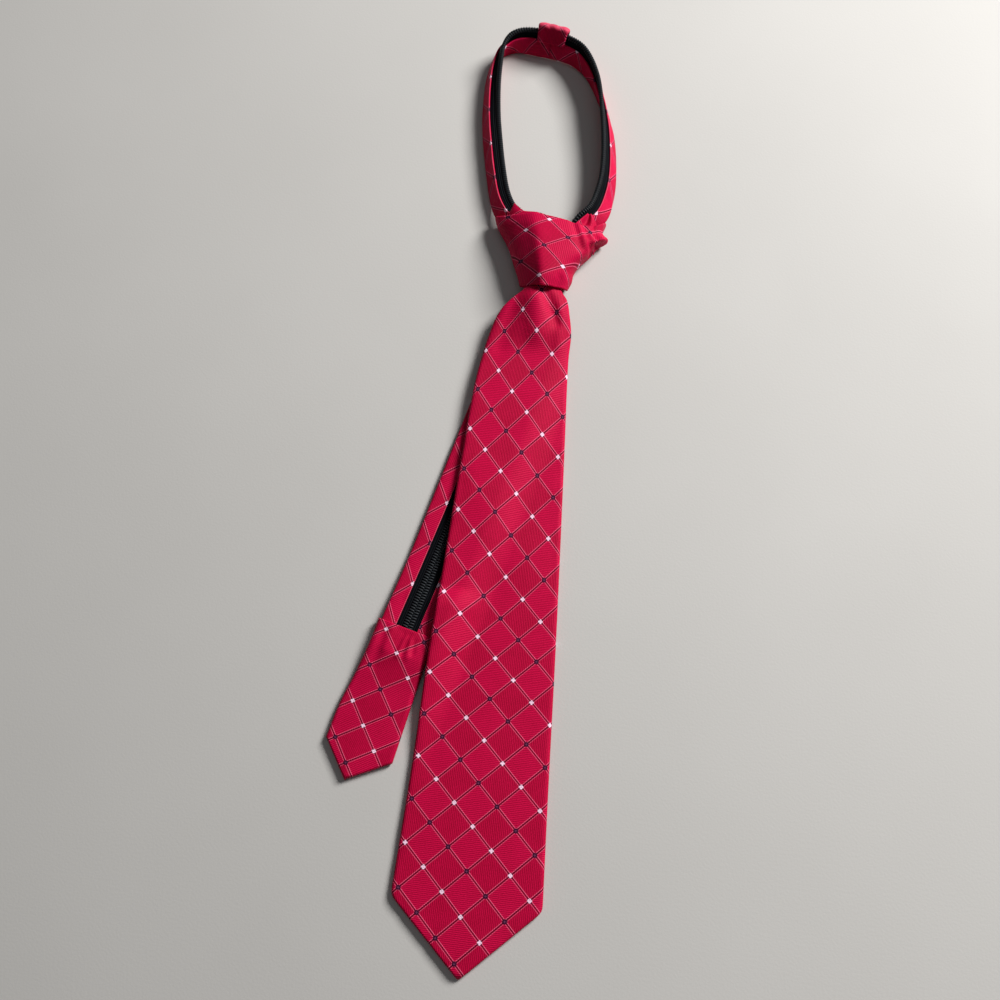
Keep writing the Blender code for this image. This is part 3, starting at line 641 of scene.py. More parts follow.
def front_blade(cloth):
    """The wide blade, as one length of cloth folded round its lining to a seam down the back."""
    start = BLADE_POINT * 1.15
    end = MOUTH_Y + KNOT_LENGTH * BLADE_TUCK
    close, even = 40, 210
    stations = [start * (k / close) ** 1.4 for k in range(1, close)]
    stations += [start + (end - start) * k / even for k in range(even + 1)]
    under = [k / 20 for k in range(21)]
    over = [k / 34 for k in range(-34, 35)]
    edge_places = bend_places(8)
    rows, flats = [], []
    for y in stations:
        half, middle = blade_half(y)
        thick = BLADE_THICKNESS * sqrt(1.0 - max(0.0, 1.0 - y / (3 * MM)) ** 2)
        radius = min(thick / 2, half * 0.9)
        straight = half - radius
        arch = BLADE_ARCH * smooth((y - MOUTH_Y + BLADE_ARCH_REACH) / BLADE_ARCH_REACH)
        arch += MOUTH_ARCH * smooth((y - MOUTH_Y + MOUTH_ARCH_REACH) / MOUTH_ARCH_REACH)
        ring = [(-straight * share, -1.0, straight * share - 2 * half) for share in under]
        for angle, sine, cosine in edge_places:
            ring.append((-straight - radius * sine, -cosine, -straight - radius * (pi - angle)))
        ring += [(straight * share, 1.0, straight * share) for share in over]
        for angle, sine, cosine in edge_places:
            ring.append((straight + radius * sine, cosine, straight + radius * angle))
        ring += [(straight * share, -1.0, 2 * half - straight * share) for share in under[::-1]]
        row, flat = [], []
        for x, side, cut in ring:
            across = x / half
            place = middle + x
            form = sum(crease(place, y, *shape) for shape in BLADE_FORMS) * smooth((1.0 - abs(across)) * 3)
            form *= smooth((MOUTH_Y + 0.004 - y) / 0.008)
            form += BLADE_RIPPLE * ripple(place, y, 0.030, 3.0) * smooth((1.0 - abs(across)) * 2)
            z = blade_rest(place, y) + arch * (1.0 - across * across) + thick / 2 * (1.0 + side)
            z += form if side > 0 else max(0.0, form) * 0.5
            edge = EDGE_RIPPLE * ripple(place * 3, y, 0.012, 9.0) * smooth((abs(across) - 0.8) / 0.2)
            if side > -0.5:
                z += min(0.0, edge)
            # The seam down the back, and the slanting hem of the point
            if side < -0.9:
                z += SEAM_RISE * exp(-((x / (1.1 * MM)) ** 2)) * smooth(y / BLADE_POINT)
                z += HEM_RISE * crease(x, y, (0.0, 0.010), (half, 0.010 + half), 0.0012, 1.0)
            row.append((place, y, max(z, 0.05 * MM)))
            flat.append(blade_flat(middle + cut, y))
        rows.append(row)
        flats.append(flat)
    piece = skin("blade_cloth", rows, flats, cloth, ["front_blade"])


# How much slimmer the knot's cloth is on each side than its solid
KNOT_MOUTH_SLIM = 0.9 * MM
KNOT_TOP_SLIM = 0.4 * MM


def knot_outline(share):
    """The knot's reach left and right of its middle and its height, at a share of its length."""
    row = read_along(KNOT_ROWS, share)
    narrow = KNOT_MOUTH_WIDTH / 2 - KNOT_MOUTH_SLIM * (1.0 - share)
    flare = KNOT_TOP_WIDTH / 2 - narrow - KNOT_TOP_SLIM
    return narrow + flare * row.left, narrow + flare * row.right, KNOT_HEIGHT * row.height


KNOT_RIPPLE = 0.20 * MM
KNOT_CLOTH = 1.3 * MM
KNOT_FORMS = table(
    FORM_COLUMNS,
    ((0.0285, 0.3540), (0.0318, 0.3440), 0.0012, -0.0016),
    ((0.0305, 0.3500), (0.0345, 0.3465), 0.0012, 0.0008),
    ((0.0225, 0.3540), (0.0290, 0.3400), 0.0013, -0.0009),
    ((0.0208, 0.3530), (0.0262, 0.3400), 0.0014, 0.0006),
    ((0.0190, 0.3520), (0.0235, 0.3390), 0.0016, -0.0007),
    ((0.0150, 0.3210), (0.0120, 0.3150), 0.0022, -0.0009),
    ((-0.0060, 0.3460), (0.0020, 0.3220), 0.0045, -0.0003),
)


def knot_point(share, turn, sunk):
    """A place on the wound sleeve: along its length, round its section, and sunk into its wall."""
    left, right, height = knot_outline(min(share, 1.0))
    keys = [row.turn for row in SECTION]

    def flat_place(at):
        at = at % 1.0
        row = read(SECTION, keys, at)
        ridge = exp(-(((at - 0.34) / 0.12) ** 2)) * RIDGE_LEAN * (0.75 - share)
        across = row.across + ridge
        return Vector((KNOT_SHIFT + across * (right if across > 0 else left), height * row.crown)), row

    here, row = flat_place(turn)
    before, after = flat_place(turn - 0.004)[0], flat_place(turn + 0.004)[0]
    way = (after - before).normalized()
    inward = Vector((way.y, -way.x))
    y = MOUTH_Y + KNOT_LENGTH * (share * row.reach + (1.0 - share) * row.sag)
    form = 0.0
    if 0.1 < turn < 0.72:
        form = sum(crease(here.x, y, *shape) for shape in KNOT_FORMS)
        form += KNOT_RIPPLE * ripple(here.x, y, 0.011, 5.0)
    place = here + inward * (sunk - form)
    return Vector((place.x, y, max(place.y, 0.1 * MM)))


def knot_flat(point):
    """Flat coordinates on the knot, let out where its sides turn down."""
    turned = max(0.0, 0.8 * KNOT_HEIGHT - point.z)
    deep = 0.8 * max(0.0, turned - 0.4 * KNOT_HEIGHT)
    right = smooth((point.x - KNOT_SHIFT) / 0.010)
    x = point.x + right * (0.35 * turned + deep) - (1.0 - right) * deep
    return lattice(x, point.y, KNOT_WEAVE)


def knot(cloth):
    """The wound sleeve of the knot, with rolled rims at its mouth and top."""
    wall = KNOT_CLOTH
    around = 120
    path = [(k / 46, 0.0) for k in range(47)]
    reach = wall / 2 / KNOT_LENGTH
    path += [(1.0 + reach * sine, wall / 2 * (1.0 - cosine)) for _, sine, cosine in bend_places(5)]
    path += [(1.0 - k / 14, wall) for k in range(15)]
    path += [(-reach * sine, wall / 2 * (1.0 + cosine)) for _, sine, cosine in bend_places(5)]
    path.append(path[0])
    rows, flats = [], []
    for share, sunk in path:
        row, flat = [], []
        for k in range(around + 1):
            clipped = min(max(share, 0.0), 1.0)
            point = knot_point(clipped, (k / around) % 1.0, sunk)
            point.y += (share - clipped) * KNOT_LENGTH
            row.append(tuple(point))
            flat.append(knot_flat(point))
        rows.append(row)
        flats.append(flat)
    piece = skin("knot_wrap", rows, flats, cloth, ["knot"], closed_rows=True)


def under_wrap(x, y):
    """Height just under the front wrap at a place near the knot's top."""
    share = min(1.0, max(0.0, (y - MOUTH_Y) / KNOT_LENGTH))
    left, right, height = knot_outline(share)
    across = (x - KNOT_SHIFT) / (right if x > KNOT_SHIFT else left)
    front = [row for row in SECTION if 0.08 <= row.turn <= 0.70]
    crown = read(front, [row.across for row in front], across).crown
    return crown * height - KNOT_WALL


# Ends of the cloth that stick out at the knot's top: an outline each, as rows of left and right
# places from the blade's point, with their drop below the wrap and the puff of their pleats
TIP_COLUMNS = "left_x left_y right_x right_y drop puff"
LEFT_TIP = table(
    TIP_COLUMNS,
    (-0.0110, 0.3470, 0.0060, 0.3470, 0.0004, 0.0),
    (-0.0138, 0.3540, 0.0070, 0.3545, 0.0004, 0.0002),
    (-0.0146, 0.3580, 0.0030, 0.3568, 0.0003, 0.0004),
    (-0.0137, 0.3615, -0.0060, 0.3588, 0.0001, 0.0006),
    (-0.0125, 0.3645, -0.0105, 0.3622, -0.0004, 0.0002),
)
RIGHT_TIP = table(
    TIP_COLUMNS,
    (0.0155, 0.3430, 0.0300, 0.3420, 0.0008, 0.0),
    (0.0180, 0.3500, 0.0312, 0.3480, 0.0006, 0.0006),
    (0.0208, 0.3540, 0.0312, 0.3530, 0.0004, 0.0012),
    (0.0232, 0.3572, 0.0300, 0.3566, 0.0002, 0.0010),
    (0.0252, 0.3600, 0.0278, 0.3602, 0.0000, 0.0004),
)


def tip_cloth(name, tip_rows, node, pleats, cloth):
    """A pleated end of cloth behind the front wrap."""
    wall = 1.1 * MM
    keys = list(range(len(tip_rows)))
    rows, flats = [], []
    for k in range(33):
        row_at = read(tip_rows, keys, k / 32 * keys[-1])
        over, under, flat_over, flat_under = [], [], [], []
        for c in range(25):
            side = c / 24
            x = row_at.left_x + (row_at.right_x - row_at.left_x) * side
            y = row_at.left_y + (row_at.right_y - row_at.left_y) * side
            fold = row_at.puff * cos(side * tau * pleats)
            z = under_wrap(x, y) - row_at.drop + fold
            thin = wall / 2 * sqrt(max(0.0, 1.0 - (2 * side - 1.0) ** 6))
            thin *= sqrt(max(0.02, 1.0 - (k / 32) ** 8))
            over.append((x, y, z - wall / 2 + thin))
            under.append((x, y, z - wall / 2 - thin))
            flat_over.append(knot_flat(Vector((x, y, z))))
            flat_under.append(knot_flat(Vector((x + 2 * wall, y, z))))
        rows.append(over + under[::-1] + over[:1])
        flats.append(flat_over + flat_under[::-1] + flat_over[:1])
    piece = skin(name, rows, flats, cloth, [node])


STRAP_STEP = 0.0012


def strap_frames(loop_rows, ghost, side):
    """Frames along a strap: the meeting line's point, and the band's and zipper's directions.

    The ghost is a row of the other strap past the tab, so that the two run on smoothly.
    """
    Station = namedtuple("Station", "x y rise band_lean zip_lean width")
    Frame = namedtuple("Frame", "at band band_up zip zip_up width run")
    marks = []

    def mark(x, y, row):
        marks.append(Station(x, y, row.rise * KNOT_HEIGHT, row.band_lean, row.zip_lean, row.width))

    for row in (ghost, *loop_rows):
        mark(KNOT_SHIFT + row.across * LOOP_WIDTH, TOP_Y + row.along * LOOP_LENGTH, row)
    for row in INNER_ROWS:
        spread = ZIP_WIDTH / 2 + row.spread * KNOT_TOP_WIDTH
        mark(KNOT_SHIFT + side * spread, MOUTH_Y + row.along * KNOT_LENGTH, row)
    for row in TAIL_ROWS:
        middle = TAIL_BEND - TAIL_WAY * TAIL_LENGTH * row.along
        middle += TAIL_SIDE * side * ZIP_WIDTH / 2
        rise = STRAP_LIFT * 0.25 if row.along == 0.0 else 0.0
        marks.append(Station(middle.x, middle.y, rise, 0, 0, row.width))
    marks[-1] = marks[-1]._replace(rise=CAP_WALL + CLEARANCE)
    inside = TAIL_WAY * (CAP_POCKET - 4 * CLEARANCE)
    end = marks[-1]
    marks.append(end._replace(x=end.x - inside.x, y=end.y - inside.y))
    keys = [-hypot(marks[1].x - marks[0].x, marks[1].y - marks[0].y)]
    for here, there in zip(marks, marks[1:]):
        keys.append(keys[-1] + hypot(there.x - here.x, there.y - here.y))
    count = round(keys[-1] / STRAP_STEP)
    frames = []
    run = 0.0
    for k in range(count + 1):
        at = keys[-1] * k / count
        here, ahead, behind = (read(marks, keys, at + d) for d in (0.0, 0.0005, -0.0005))
        way = Vector((ahead.x - behind.x, ahead.y - behind.y, 0.0)).normalized()
        inward = Vector((-way.y, way.x, 0.0)) * (-side)
        up = Vector((0.0, 0.0, 1.0))
        directions = []
        for lean in (here.band_lean, here.zip_lean):
            angle = math.radians(lean)
            directions.append(inward * cos(angle) + up * sin(angle))
            directions.append(up * cos(angle) - inward * sin(angle))
        band, band_up, zipper, zip_up = directions
        wide = BAND_WIDTH * here.width
        height = max(0.0, here.rise) + wide * band.z + abs(band_up.z) * BAND_THICKNESS / 2
        place = Vector((here.x, here.y, height))
        if frames:
            run += (place - frames[-1].at).length
        frames.append(Frame(place, band, band_up, zipper, zip_up, wide, run))
    return frames


# Folded section of a band, from its inner lip under to its outer edge and back over: shares of the
# width across and of half the thickness up, with a groove between the lips for the tape
BAND_SECTION = (
    (0.000, -0.50), (-0.006, -0.82), (-0.030, -0.97), (-0.10, -1.00), (-0.30, -1.02), (-0.50, -1.03),
    (-0.70, -1.01), (-0.84, -0.97), (-0.92, -0.86), (-0.97, -0.60), (-1.00, -0.20), (-1.00, 0.20),
    (-0.97, 0.60), (-0.92, 0.86), (-0.84, 0.98), (-0.70, 1.03), (-0.50, 1.05), (-0.30, 1.02),
    (-0.12, 0.98), (-0.065, 0.94), (-0.040, 1.00), (-0.015, 0.95), (0.000, 0.76), (-0.004, 0.52),
    (-0.060, 0.42), (-0.200, 0.40), (-0.210, 0.0), (-0.200, -0.40), (-0.060, -0.42),
)
BAND_OUTER_PLACE = 10
BAND_LIP_PLACE = 21
BAND_SWAY = 0.25 * MM
BAND_DENT = 0.22 * MM
BAND_DENT_STEP = 0.026
# Painted highlight along the band's folded inner lip, next to the tape
BAND_LIP_HIGHLIGHT = 0.55
BAND_WHITE_Y = 0.1743
BIAS = 1.14

# The zipper parts in the knot, over a short stretch this far above the tail
PARTING_REACH = 0.045
PARTING_STRETCH = 0.010


def closed_share(run, length):
    """How far the zipper is closed at a place along a strap: 0 round the loop, 1 down the tail."""
    return smooth((run - (length - TAIL_LENGTH - PARTING_REACH)) / PARTING_STRETCH)


def band(side_name, frames, side, cloth):
    """The folded cloth band of one strap."""
    half = BAND_THICKNESS / 2 * 0.97
    phase = min(frames[len(frames) // 2:], key=lambda f: abs(f.at.y - BAND_WHITE_Y)).run
    # The right band's light squares are one row of squares further on
    if side > 0:
        phase += 2 * BAND_STEP * BIAS
    lengths = [0.0]
    for (a, b), (c, d) in zip(BAND_SECTION, BAND_SECTION[1:]):
        lengths.append(lengths[-1] + hypot((c - a) * BAND_WIDTH, (d - b) * half))
    outer = lengths[BAND_OUTER_PLACE]
    rows, flats, painted_highlight = [], [], []
    for f in frames:
        row, flat, highlight_row = [], [], []
        free = smooth(f.run / 0.03) * smooth((frames[-1].run - f.run) / 0.02)
        for place, (a, b) in enumerate(BAND_SECTION):
            puff = 1.0 + 0.10 * ripple(f.run, a * 0.01, 0.009, 11.0 + side) * (abs(b) > 0.9)
            bend = BAND_SWAY * ripple(f.run, 0.0, 0.016, 17.0 + side) * -a * free
            dent = 0.0
            if b > 0.9 and -0.9 < a < -0.1:
                slant = sin((f.run + a * f.width * 1.2) * tau / BAND_DENT_STEP + side)
                dent = -BAND_DENT * max(0.0, slant) ** 6 * free
            up = b * half * puff + dent + bend
            row.append(tuple(f.at + f.band * (a * f.width) + f.band_up * up))
            cut = lengths[place] - outer
            flat.append(lattice(-side * cut, (phase - f.run) / BIAS, BAND_WEAVE))
            # The inner lip gets the painted highlight
            highlight_row.append(BAND_LIP_HIGHLIGHT if place == BAND_LIP_PLACE else 0.0)
        rows.append(row + row[:1])
        flats.append(flat + flat[:1])
        painted_highlight.append(highlight_row + highlight_row[:1])
    piece = skin(f"{side_name}_band_cloth", rows, flats, cloth,
                 [f"{side_name}_band"], painted_highlight=painted_highlight)


TAPE_TUCK = 1.5 * MM
TAPE_APART = 0.15 * MM
TAPE_CORE = 0.60 * MM
TAPE_CORD = 0.10 * MM
TAPE_RIDGE = 0.16 * MM
TAPE_RIDGE_STEP = 1.15 * MM


def tape(side_name, frames, webbing_look):
    """The woven tape of one side, bent out of the band's groove, with its cord along the coil."""
    across = [k / 24 for k in range(25)]
    skin_half = TAPE_THICKNESS / 2 * 0.8
    rows, flats = [], []
    for f in frames:
        in_tail = closed_share(f.run, frames[-1].run)
        reach = ZIP_HALF - TAPE_APART - (COIL_WIDTH * 0.55 - TAPE_APART) * in_tail
        core = TAPE_CORE * (1.0 - in_tail)
        over, under, flat_over = [], [], []
        for share in across:
            s = -TAPE_TUCK + (TAPE_TUCK + reach) * share
            bent = smooth((s + 0.3 * MM) / (1.2 * MM))
            up = (f.band_up * (1.0 - bent) + f.zip_up * bent).normalized()
            place = f.at + (f.band if s < 0 else f.zip) * s
            cord = TAPE_CORD * exp(-(((s - reach + 0.9 * MM) / (0.28 * MM)) ** 2))
            cord += core * smooth((s - reach + 1.7 * MM) / (0.5 * MM)) * smooth((reach - s) / (0.4 * MM))
            ridge = TAPE_RIDGE * cos((s - 0.9 * MM) / TAPE_RIDGE_STEP * tau) * bent
            edge = sqrt(max(0.0, 1.0 - (2 * share - 1.0) ** 8))
            over.append(tuple(place + up * (skin_half * edge + cord + ridge)))
            under.append(tuple(place - up * (skin_half * edge + cord)))
            flat_over.append((s, f.run))
        rows.append(over + under[::-1] + over[:1])
        flats.append(flat_over + flat_over[::-1] + flat_over[:1])
    piece = skin(f"{side_name}_tape_weave", rows, flats, webbing_look,
                 [f"{side_name}_zipper_tape"])


COIL_PITCH = 0.00130
COIL_WIRE = 0.00040
COIL_START = 0.002
COIL_SQUARED = 1.15
COIL_APART = 0.20 * MM
COIL_MESH = 0.38 * MM
# The legs on top slant the same way on both sides, so the closed chain reads as one twist
COIL_SLANT = 0.25


def coil(side_name, frames, nylon_look):
    """The monofilament coil of one side, wound round the tape's edge; the tail's two sides mesh."""
    length = frames[-1].run
    turns = int((length - 2 * COIL_START) / COIL_PITCH)
    per_turn, sides = 14, 7
    runs = [f.run for f in frames]
    strap = np.array([[*f.at, *f.zip, *f.zip_up] for f in frames])
    inner = ZIP_HALF - COIL_WIDTH
    centres = []
    for k in range(turns * per_turn + 1):
        angle = tau * k / per_turn
        a = max(-1.0, min(1.0, COIL_SQUARED * cos(angle)))
        b = max(-1.0, min(1.0, COIL_SQUARED * sin(angle)))
        at = COIL_START + COIL_PITCH * (k / per_turn + COIL_SLANT * a)
        values = [np.interp(at, runs, column) for column in strap.T]
        place = Vector(values[0:3])
        way, up = Vector(values[3:6]).normalized(), Vector(values[6:9]).normalized()
        outer = ZIP_HALF - COIL_APART + COIL_MESH * closed_share(at, length)
        middle, half = (inner + outer) / 2, (outer - inner) / 2
        centres.append(place + way * (middle + half * a) + up * (COIL_HEIGHT / 2 - COIL_WIRE) * b)
    rows, flats = [], []
    for k, centre in enumerate(centres):
        tangent = (centres[min(k + 1, len(centres) - 1)] - centres[max(k - 1, 0)]).normalized()
        if k == 0:
            first = tangent.orthogonal()
        first = (first - tangent * first.dot(tangent)).normalized()
        second = tangent.cross(first)
        row = []
        for c in range(sides + 1):
            turn = tau * c / sides
            row.append(tuple(centre + (first * cos(turn) + second * sin(turn)) * COIL_WIRE))
        rows.append(row)
        flats.append([(c * COIL_WIRE, k * COIL_PITCH / per_turn) for c in range(sides + 1)])
    skin(f"{side_name}_coil_teeth", rows, flats, nylon_look,
         [f"{side_name}_neck_coil", f"{side_name}_tail_coil"])


# Gathers of the cap's cloth below the zipper, and how far its mouth lies below the solid's
CAP_FORMS = table(
    FORM_COLUMNS,
    ((-0.0395, 0.1430), (-0.0432, 0.1360), 0.0014, -0.0004),
    ((-0.0375, 0.1425), (-0.0398, 0.1345), 0.0014, -0.0005),
    ((-0.0350, 0.1405), (-0.0350, 0.1350), 0.0013, -0.0004),
    ((-0.0385, 0.1428), (-0.0415, 0.1330), 0.0012, 0.0004),
    ((-0.0363, 0.1410), (-0.0372, 0.1330), 0.0014, 0.0004),
    ((-0.0455, 0.1450), (-0.0480, 0.1360), 0.0020, 0.0004),
    ((-0.0490, 0.1440), (-0.0520, 0.1290), 0.0022, -0.0004),
)
CAP_DROP = 0.0032
CAP_RIPPLE = 0.16 * MM
CAP_PUFF = 0.35 * MM
CAP_INSIDE_HEIGHT = 0.62
CAP_INSIDE_WIDTH = 0.93


def tail_cap(cloth):
    """The folded cap on the tail's end, gathered below the zipper, with a pocket for the straps."""
    shoulder = 1.0 - CAP_POINT / CAP_LENGTH
    outer = [1.0 - (1.0 - shoulder * 0.97) * (k / 24) ** 1.3 for k in range(25)]
    outer += [shoulder * 0.97 * (1.0 - k / 90) for k in range(1, 91)]
    inner = [0.12 * k / 6 for k in range(7)]
    over_places = [k / 35 - 1.0 for k in range(71)]
    under_places = [1.0 - k / 15 for k in range(31)]
    rows, flats = [], []
    for share, inside in [(s, False) for s in outer] + [(s, True) for s in inner]:
        row_at = read_along(CAP_ROWS, min(share, CAP_ROWS[-1].along))
        point = (1.0 - share) / (1.0 - shoulder) if share > shoulder else 1.0
        point = max(point, 0.03)
        height = CAP_THICKNESS + (CAP_MOUTH_HEIGHT - CAP_THICKNESS) * row_at.swell
        height *= sqrt(1.0 - max(0.0, 1.0 - (1.0 - share) * CAP_LENGTH / (2.5 * MM)) ** 2 * 0.9)
        middle = ZIP_END + TAIL_WAY * (2 * CAP_WALL - CAP_DROP - (CAP_LENGTH - CAP_DROP) * share)
        wide_left = CAP_WIDTH / 2 * row_at.left * point
        wide_right = CAP_WIDTH / 2 * row_at.right * point
        roll = min(height / 2, wide_left * 0.8)
        reach = (wide_left - roll, wide_right - roll)
        over = [across * reach[across > 0] for across in over_places]
        under = [across * reach[across > 0] for across in under_places]
        ring = [(a, 1.0, a) for a in over]
        for angle, sine, cosine in bend_places(8):
            ring.append((reach[1] + roll * sine, cosine, reach[1] + roll * angle))
        ring += [(a, -1.0, wide_right * 2 - a) for a in under]
        for angle, sine, cosine in bend_places(8, start=pi):
            ring.append((roll * sine - reach[0], cosine, -reach[0] - roll * (tau - angle)))
        row, flat = [], []
        for a, side, cut in ring:
            place = middle + TAIL_SIDE * a
            z = height / 2 * (1.0 + side)
            if side > 0:
                shown = place + TAIL_WAY * CAP_DROP
                form = sum(crease(shown.x, shown.y, *shape) for shape in CAP_FORMS)
                form += CAP_RIPPLE * ripple(place.x, place.y, 0.014, 21.0)
                puff = CAP_PUFF * smooth(share / 0.08) * smooth(1.0 - abs(a) / wide_left)
                z += (form + puff) * side * smooth(share / 0.02)
            if inside:
                z = height / 2 + (z - height / 2) * CAP_INSIDE_HEIGHT
                place = middle + TAIL_SIDE * a * CAP_INSIDE_WIDTH
            row.append((place.x, place.y, max(z, 0.05 * MM)))
            cloth_place = middle + TAIL_SIDE * cut
            flat.append(lattice(cloth_place.x, cloth_place.y, CAP_WEAVE))
        rows.append(row + row[:1])
        flats.append(flat + flat[:1])
    piece = skin("tail_cap_cloth", rows, flats, cloth, ["tail_end_cap"])


TAB_REACH = 0.020
TAB_BEND = 1.9 * MM
TAB_FOOT = -1.3 * MM
TAB_LUMP = 0.30 * MM
TAB_PLEAT = 0.35 * MM
# Painted highlight along the tab's top, where it faces the light
TAB_TOP_HIGHLIGHT = 0.30


def neck_tab(left_frames, right_frames, cloth):
    """The lumpy folded tab over the two zipper ends at the back of the neck."""
    near = [f for f in left_frames if f.run < TAB_REACH]
    line = near[::-1] + [f for f in right_frames if 0 < f.run < TAB_REACH]
    keys = [0.0]
    for here, there in zip(line, line[1:]):
        keys.append(keys[-1] + (there.at - here.at).length)
    centre = keys[len(near) - 1]
    Place = namedtuple("Place", "x y z bx by bz ux uy uz")
    places = [Place(*f.at, *f.zip, *f.zip_up) for f in line]
    inner = COIL_HEIGHT / 2 + CLEARANCE
    outer = inner + TAB_WALL
    top = ZIP_HALF + 3 * CLEARANCE + TAB_RISE * 0.55
    roof = ZIP_HALF + 2 * CLEARANCE
    bend, foot = TAB_BEND, TAB_FOOT
    side = top - foot - bend
    corner = bend_places(6, pi / 2)
    ring = [(foot + side * j / 14, -outer, 1) for j in range(15)]
    ring += [(top - bend + bend * sine, bend - outer - bend * cosine, 1) for _, sine, cosine in corner]
    ring += [(top, (outer - bend) * (j / 4 - 1), 1) for j in range(9)]
    ring += [(top - bend + bend * cosine, outer - bend + bend * sine, 1) for _, sine, cosine in corner]
    ring += [(foot + side * (14 - j) / 14, outer, 1) for j in range(15)]
    ring += [(foot + (roof - foot) * j / 3, inner, 0) for j in range(4)]
    ring += [(roof - (roof - foot) * j / 3, -inner, 0) for j in range(4)]
    rows, flats, painted_highlight = [], [], []
    for k in range(41):
        share = k / 40 - 0.5
        place = read(places, keys, centre + TAB_LENGTH * share)
        at = Vector(place[0:3])
        way, up = Vector(place[3:6]).normalized(), Vector(place[6:9]).normalized()
        closing = sqrt(max(0.0, 1.0 - (abs(share) * 2) ** 10))
        row, flat, highlight_row = [], [], []
        cut = 0.0
        for j, (a, b, out) in enumerate(ring):
            lump = 0.0
            if out:
                lump = TAB_LUMP * ripple(share * TAB_LENGTH * 1.6, a + (b > 0) * 0.01, 0.0042, 31.0)
                pleat = abs(sin((share + a * 18.0) * pi * 3.0))
                lump += TAB_PLEAT * (pleat - 0.6) * smooth((a - roof) / (2 * MM))
            body = inner + (abs(b) - inner) * closing if out else inner
            reach = roof + (a - roof) * (0.72 + 0.28 * closing) if a > roof else a
            sign = 1.0 if b > 0 else -1.0
            level = sign * min(abs(b), body) if abs(b) > inner else b
            reach += lump * (a > roof)
            level += sign * lump * (abs(b) > inner)
            row.append(tuple(at + way * reach + up * level))
            if j:
                cut += hypot(a - ring[j - 1][0], b - ring[j - 1][1])
            flat.append(lattice(share * TAB_LENGTH, cut + 0.0052, BAND_WEAVE))
            # Painted highlight, growing towards the tab's top
            highlight_row.append(TAB_TOP_HIGHLIGHT * smooth((a - roof) / (top - roof)) * out)
        rows.append(row + row[:1])
        flats.append(flat + flat[:1])
        painted_highlight.append(highlight_row + highlight_row[:1])
    piece = skin("neck_tab_cloth", rows, flats, cloth, ["neck_tab"], painted_highlight=painted_highlight)


def plate(shape, outline, low, height):
    """Add a flat plate of an outline, from its underside up."""
    face = shape.faces.new([shape.verts.new((x, y, low)) for x, y in outline])
    raised = bmesh.ops.extrude_face_region(shape, geom=[face])
    tops = [v for v in raised["geom"] if isinstance(v, bmesh.types.BMVert)]
    bmesh.ops.translate(shape, vec=(0.0, 0.0, height), verts=tops)


def slider(metal):
    """The zipper slider: a waisted pair of plates, joined by a wedge."""
    middle = Vector((KNOT_SHIFT, MOUTH_Y + KNOT_LENGTH * 0.40, STRAP_LIFT + BAND_THICKNESS / 2))
    gap = COIL_HEIGHT / 2 / cos(pi / 8) + CLEARANCE
    shape = bmesh.new()
    outline = []
    for k in range(48):
        turn = tau * k / 48
        y = sin(turn) * SLIDER_LENGTH / 2
        flare = 0.80 + 0.20 * smooth(0.5 + y / SLIDER_LENGTH)
        x = math.copysign(abs(cos(turn)) ** 0.35, cos(turn)) * SLIDER_WIDTH / 2 * flare
        outline.append((x, y))
    plate(shape, outline, -gap - SLIDER_PLATE, SLIDER_PLATE)
    plate(shape, outline, gap, SLIDER_PLATE)
    wedge = [(-0.6 * MM, 3.4 * MM), (0.6 * MM, 3.4 * MM), (0.35 * MM, 1.2 * MM), (-0.35 * MM, 1.2 * MM)]
    plate(shape, wedge, -gap - SLIDER_PLATE / 2, 2 * gap + SLIDER_PLATE)
    bmesh.ops.translate(shape, vec=middle + SHIFT, verts=shape.verts)
    bmesh.ops.recalc_face_normals(shape, faces=shape.faces)
    mesh = bpy.data.meshes.new("slider")
    shape.to_mesh(mesh)
    shape.free()
    piece = add("slider_body", mesh, metal, ["zipper_slider"])
    rounded = piece.modifiers.new("rounded", "BEVEL")
    rounded.width = 0.25 * MM
    rounded.segments = 3
    rounded.limit_method = "ANGLE"


def floor():
    """A plain pale floor."""
    n = Nodes("pale_floor")
    place = n.put("ShaderNodeTexCoord").outputs["Object"]
    shade = n.noise(place, 9.0, 3.0)
    n.look(n.mix(shade, (0.52, 0.51, 0.49, 1.0), (0.57, 0.56, 0.54, 1.0)), 0.75)
    n.bump(n.noise(place, 900.0, 2.0), 0.04 * MM)
    n.set(Specular_IOR_Level=0.3)
    mesh = bpy.data.meshes.new("floor")
    far = 3.0
    mesh.from_pydata([(-far, -far, 0), (far, -far, 0), (far, far, 0), (-far, far, 0)], [], [(0, 1, 2, 3)])
    mesh.materials.append(n.material)
    ground = show("floor", mesh)


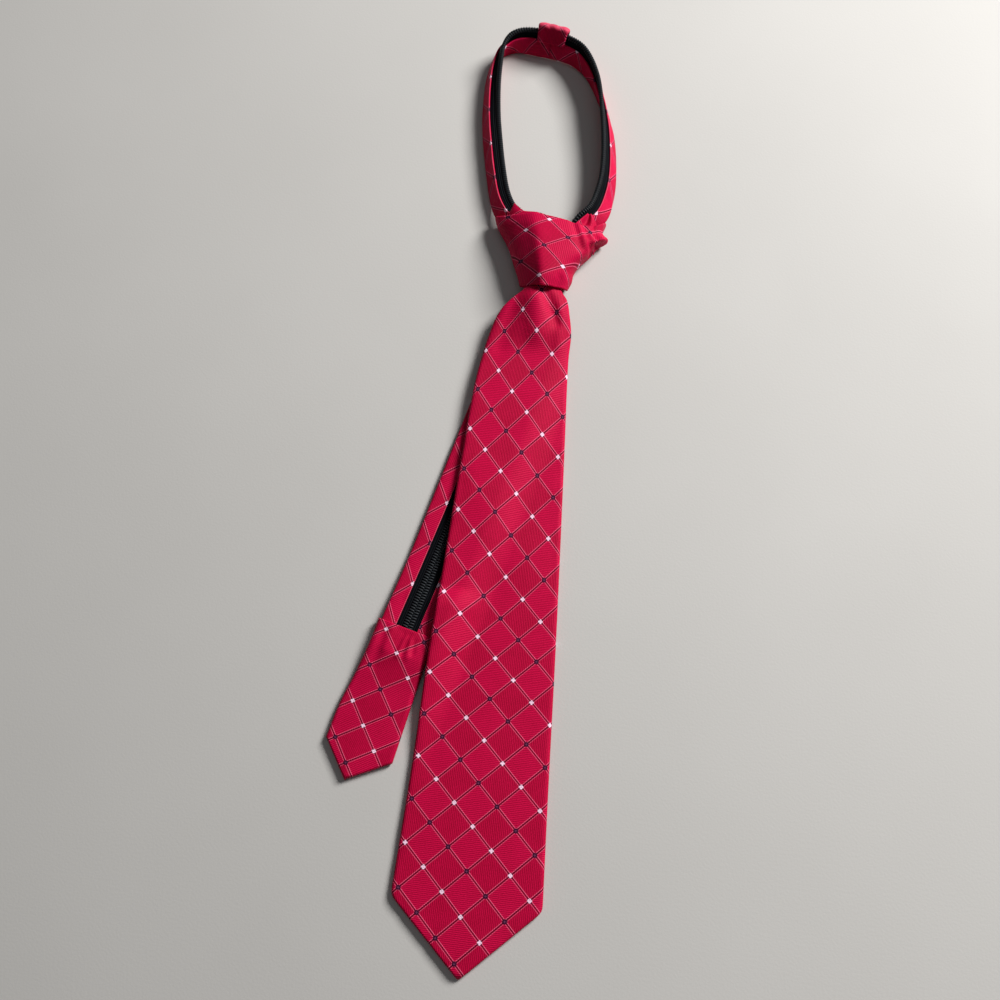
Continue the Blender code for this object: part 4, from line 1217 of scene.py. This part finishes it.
def lamp(name, place, size, power, colour):
    """A soft square light that faces the tie's middle."""
    data = bpy.data.lights.new(name, "AREA")
    data.shape = "SQUARE"
    data.size = size
    data.energy = power
    data.color = colour
    thing = show(name, data)
    thing.location = place
    thing.rotation_euler = (-Vector(place)).to_track_quat("-Z", "Y").to_euler()


def lights():
    """A window to the upper right, a weak lamp overhead and a dim room."""
    lamp("window", (1.02, 0.90, 0.90), 0.55, 45.0, (1.0, 0.985, 0.97))
    lamp("room", (0.2, -0.1, 1.6), 1.6, 1.6, (0.96, 0.98, 1.0))
    world = bpy.data.worlds.new("studio")
    world.use_nodes = True
    background = world.node_tree.nodes["Background"]
    background.inputs["Color"].default_value = (0.95, 0.97, 1.0, 1.0)
    background.inputs["Strength"].default_value = 0.075
    scene.world = world
    scene.view_settings.view_transform = "Standard"


def photo_camera():
    """The camera as it was solved from the photo: its place, and its right, up and back directions."""
    data = bpy.data.cameras.new("photo_view")
    data.lens = 36.0
    data.sensor_width = 36.0
    data.clip_start = 0.01
    camera = show("photo_view", data)
    eye = Vector((0.04882, -0.16886, 0.4546))
    right = Vector((0.99337, 0.10353, -0.05))
    up = Vector((-0.08410, 0.95086, 0.298))
    back = Vector((0.07839, -0.29181, 0.95325))
    turn = Matrix((right, up, back)).transposed().to_4x4()
    camera.matrix_world = Matrix.Translation(eye) @ turn
    bpy.context.scene.camera = camera


cloth = woven_cloth("crimson_lattice")
web = webbing("black_tape")
filament = nylon("black_coil")
front_blade(cloth)
knot(cloth)
tip_cloth("left_tip_cloth", LEFT_TIP, "knot_left_fold", 0.5, cloth)
tip_cloth("right_tip_cloth", RIGHT_TIP, "knot_right_fold", 1.5, cloth)
left = strap_frames(LEFT_ROWS, RIGHT_ROWS[1], -1)
right = strap_frames(RIGHT_ROWS, LEFT_ROWS[1], 1)
for side_name, frames, side in (("left", left, -1), ("right", right, 1)):
    band(side_name, frames, side, cloth)
    tape(side_name, frames, web)
    coil(side_name, frames, filament)
tail_cap(cloth)
neck_tab(left, right, cloth)
slider(black_metal("black_enamel"))
floor()
lights()
photo_camera()
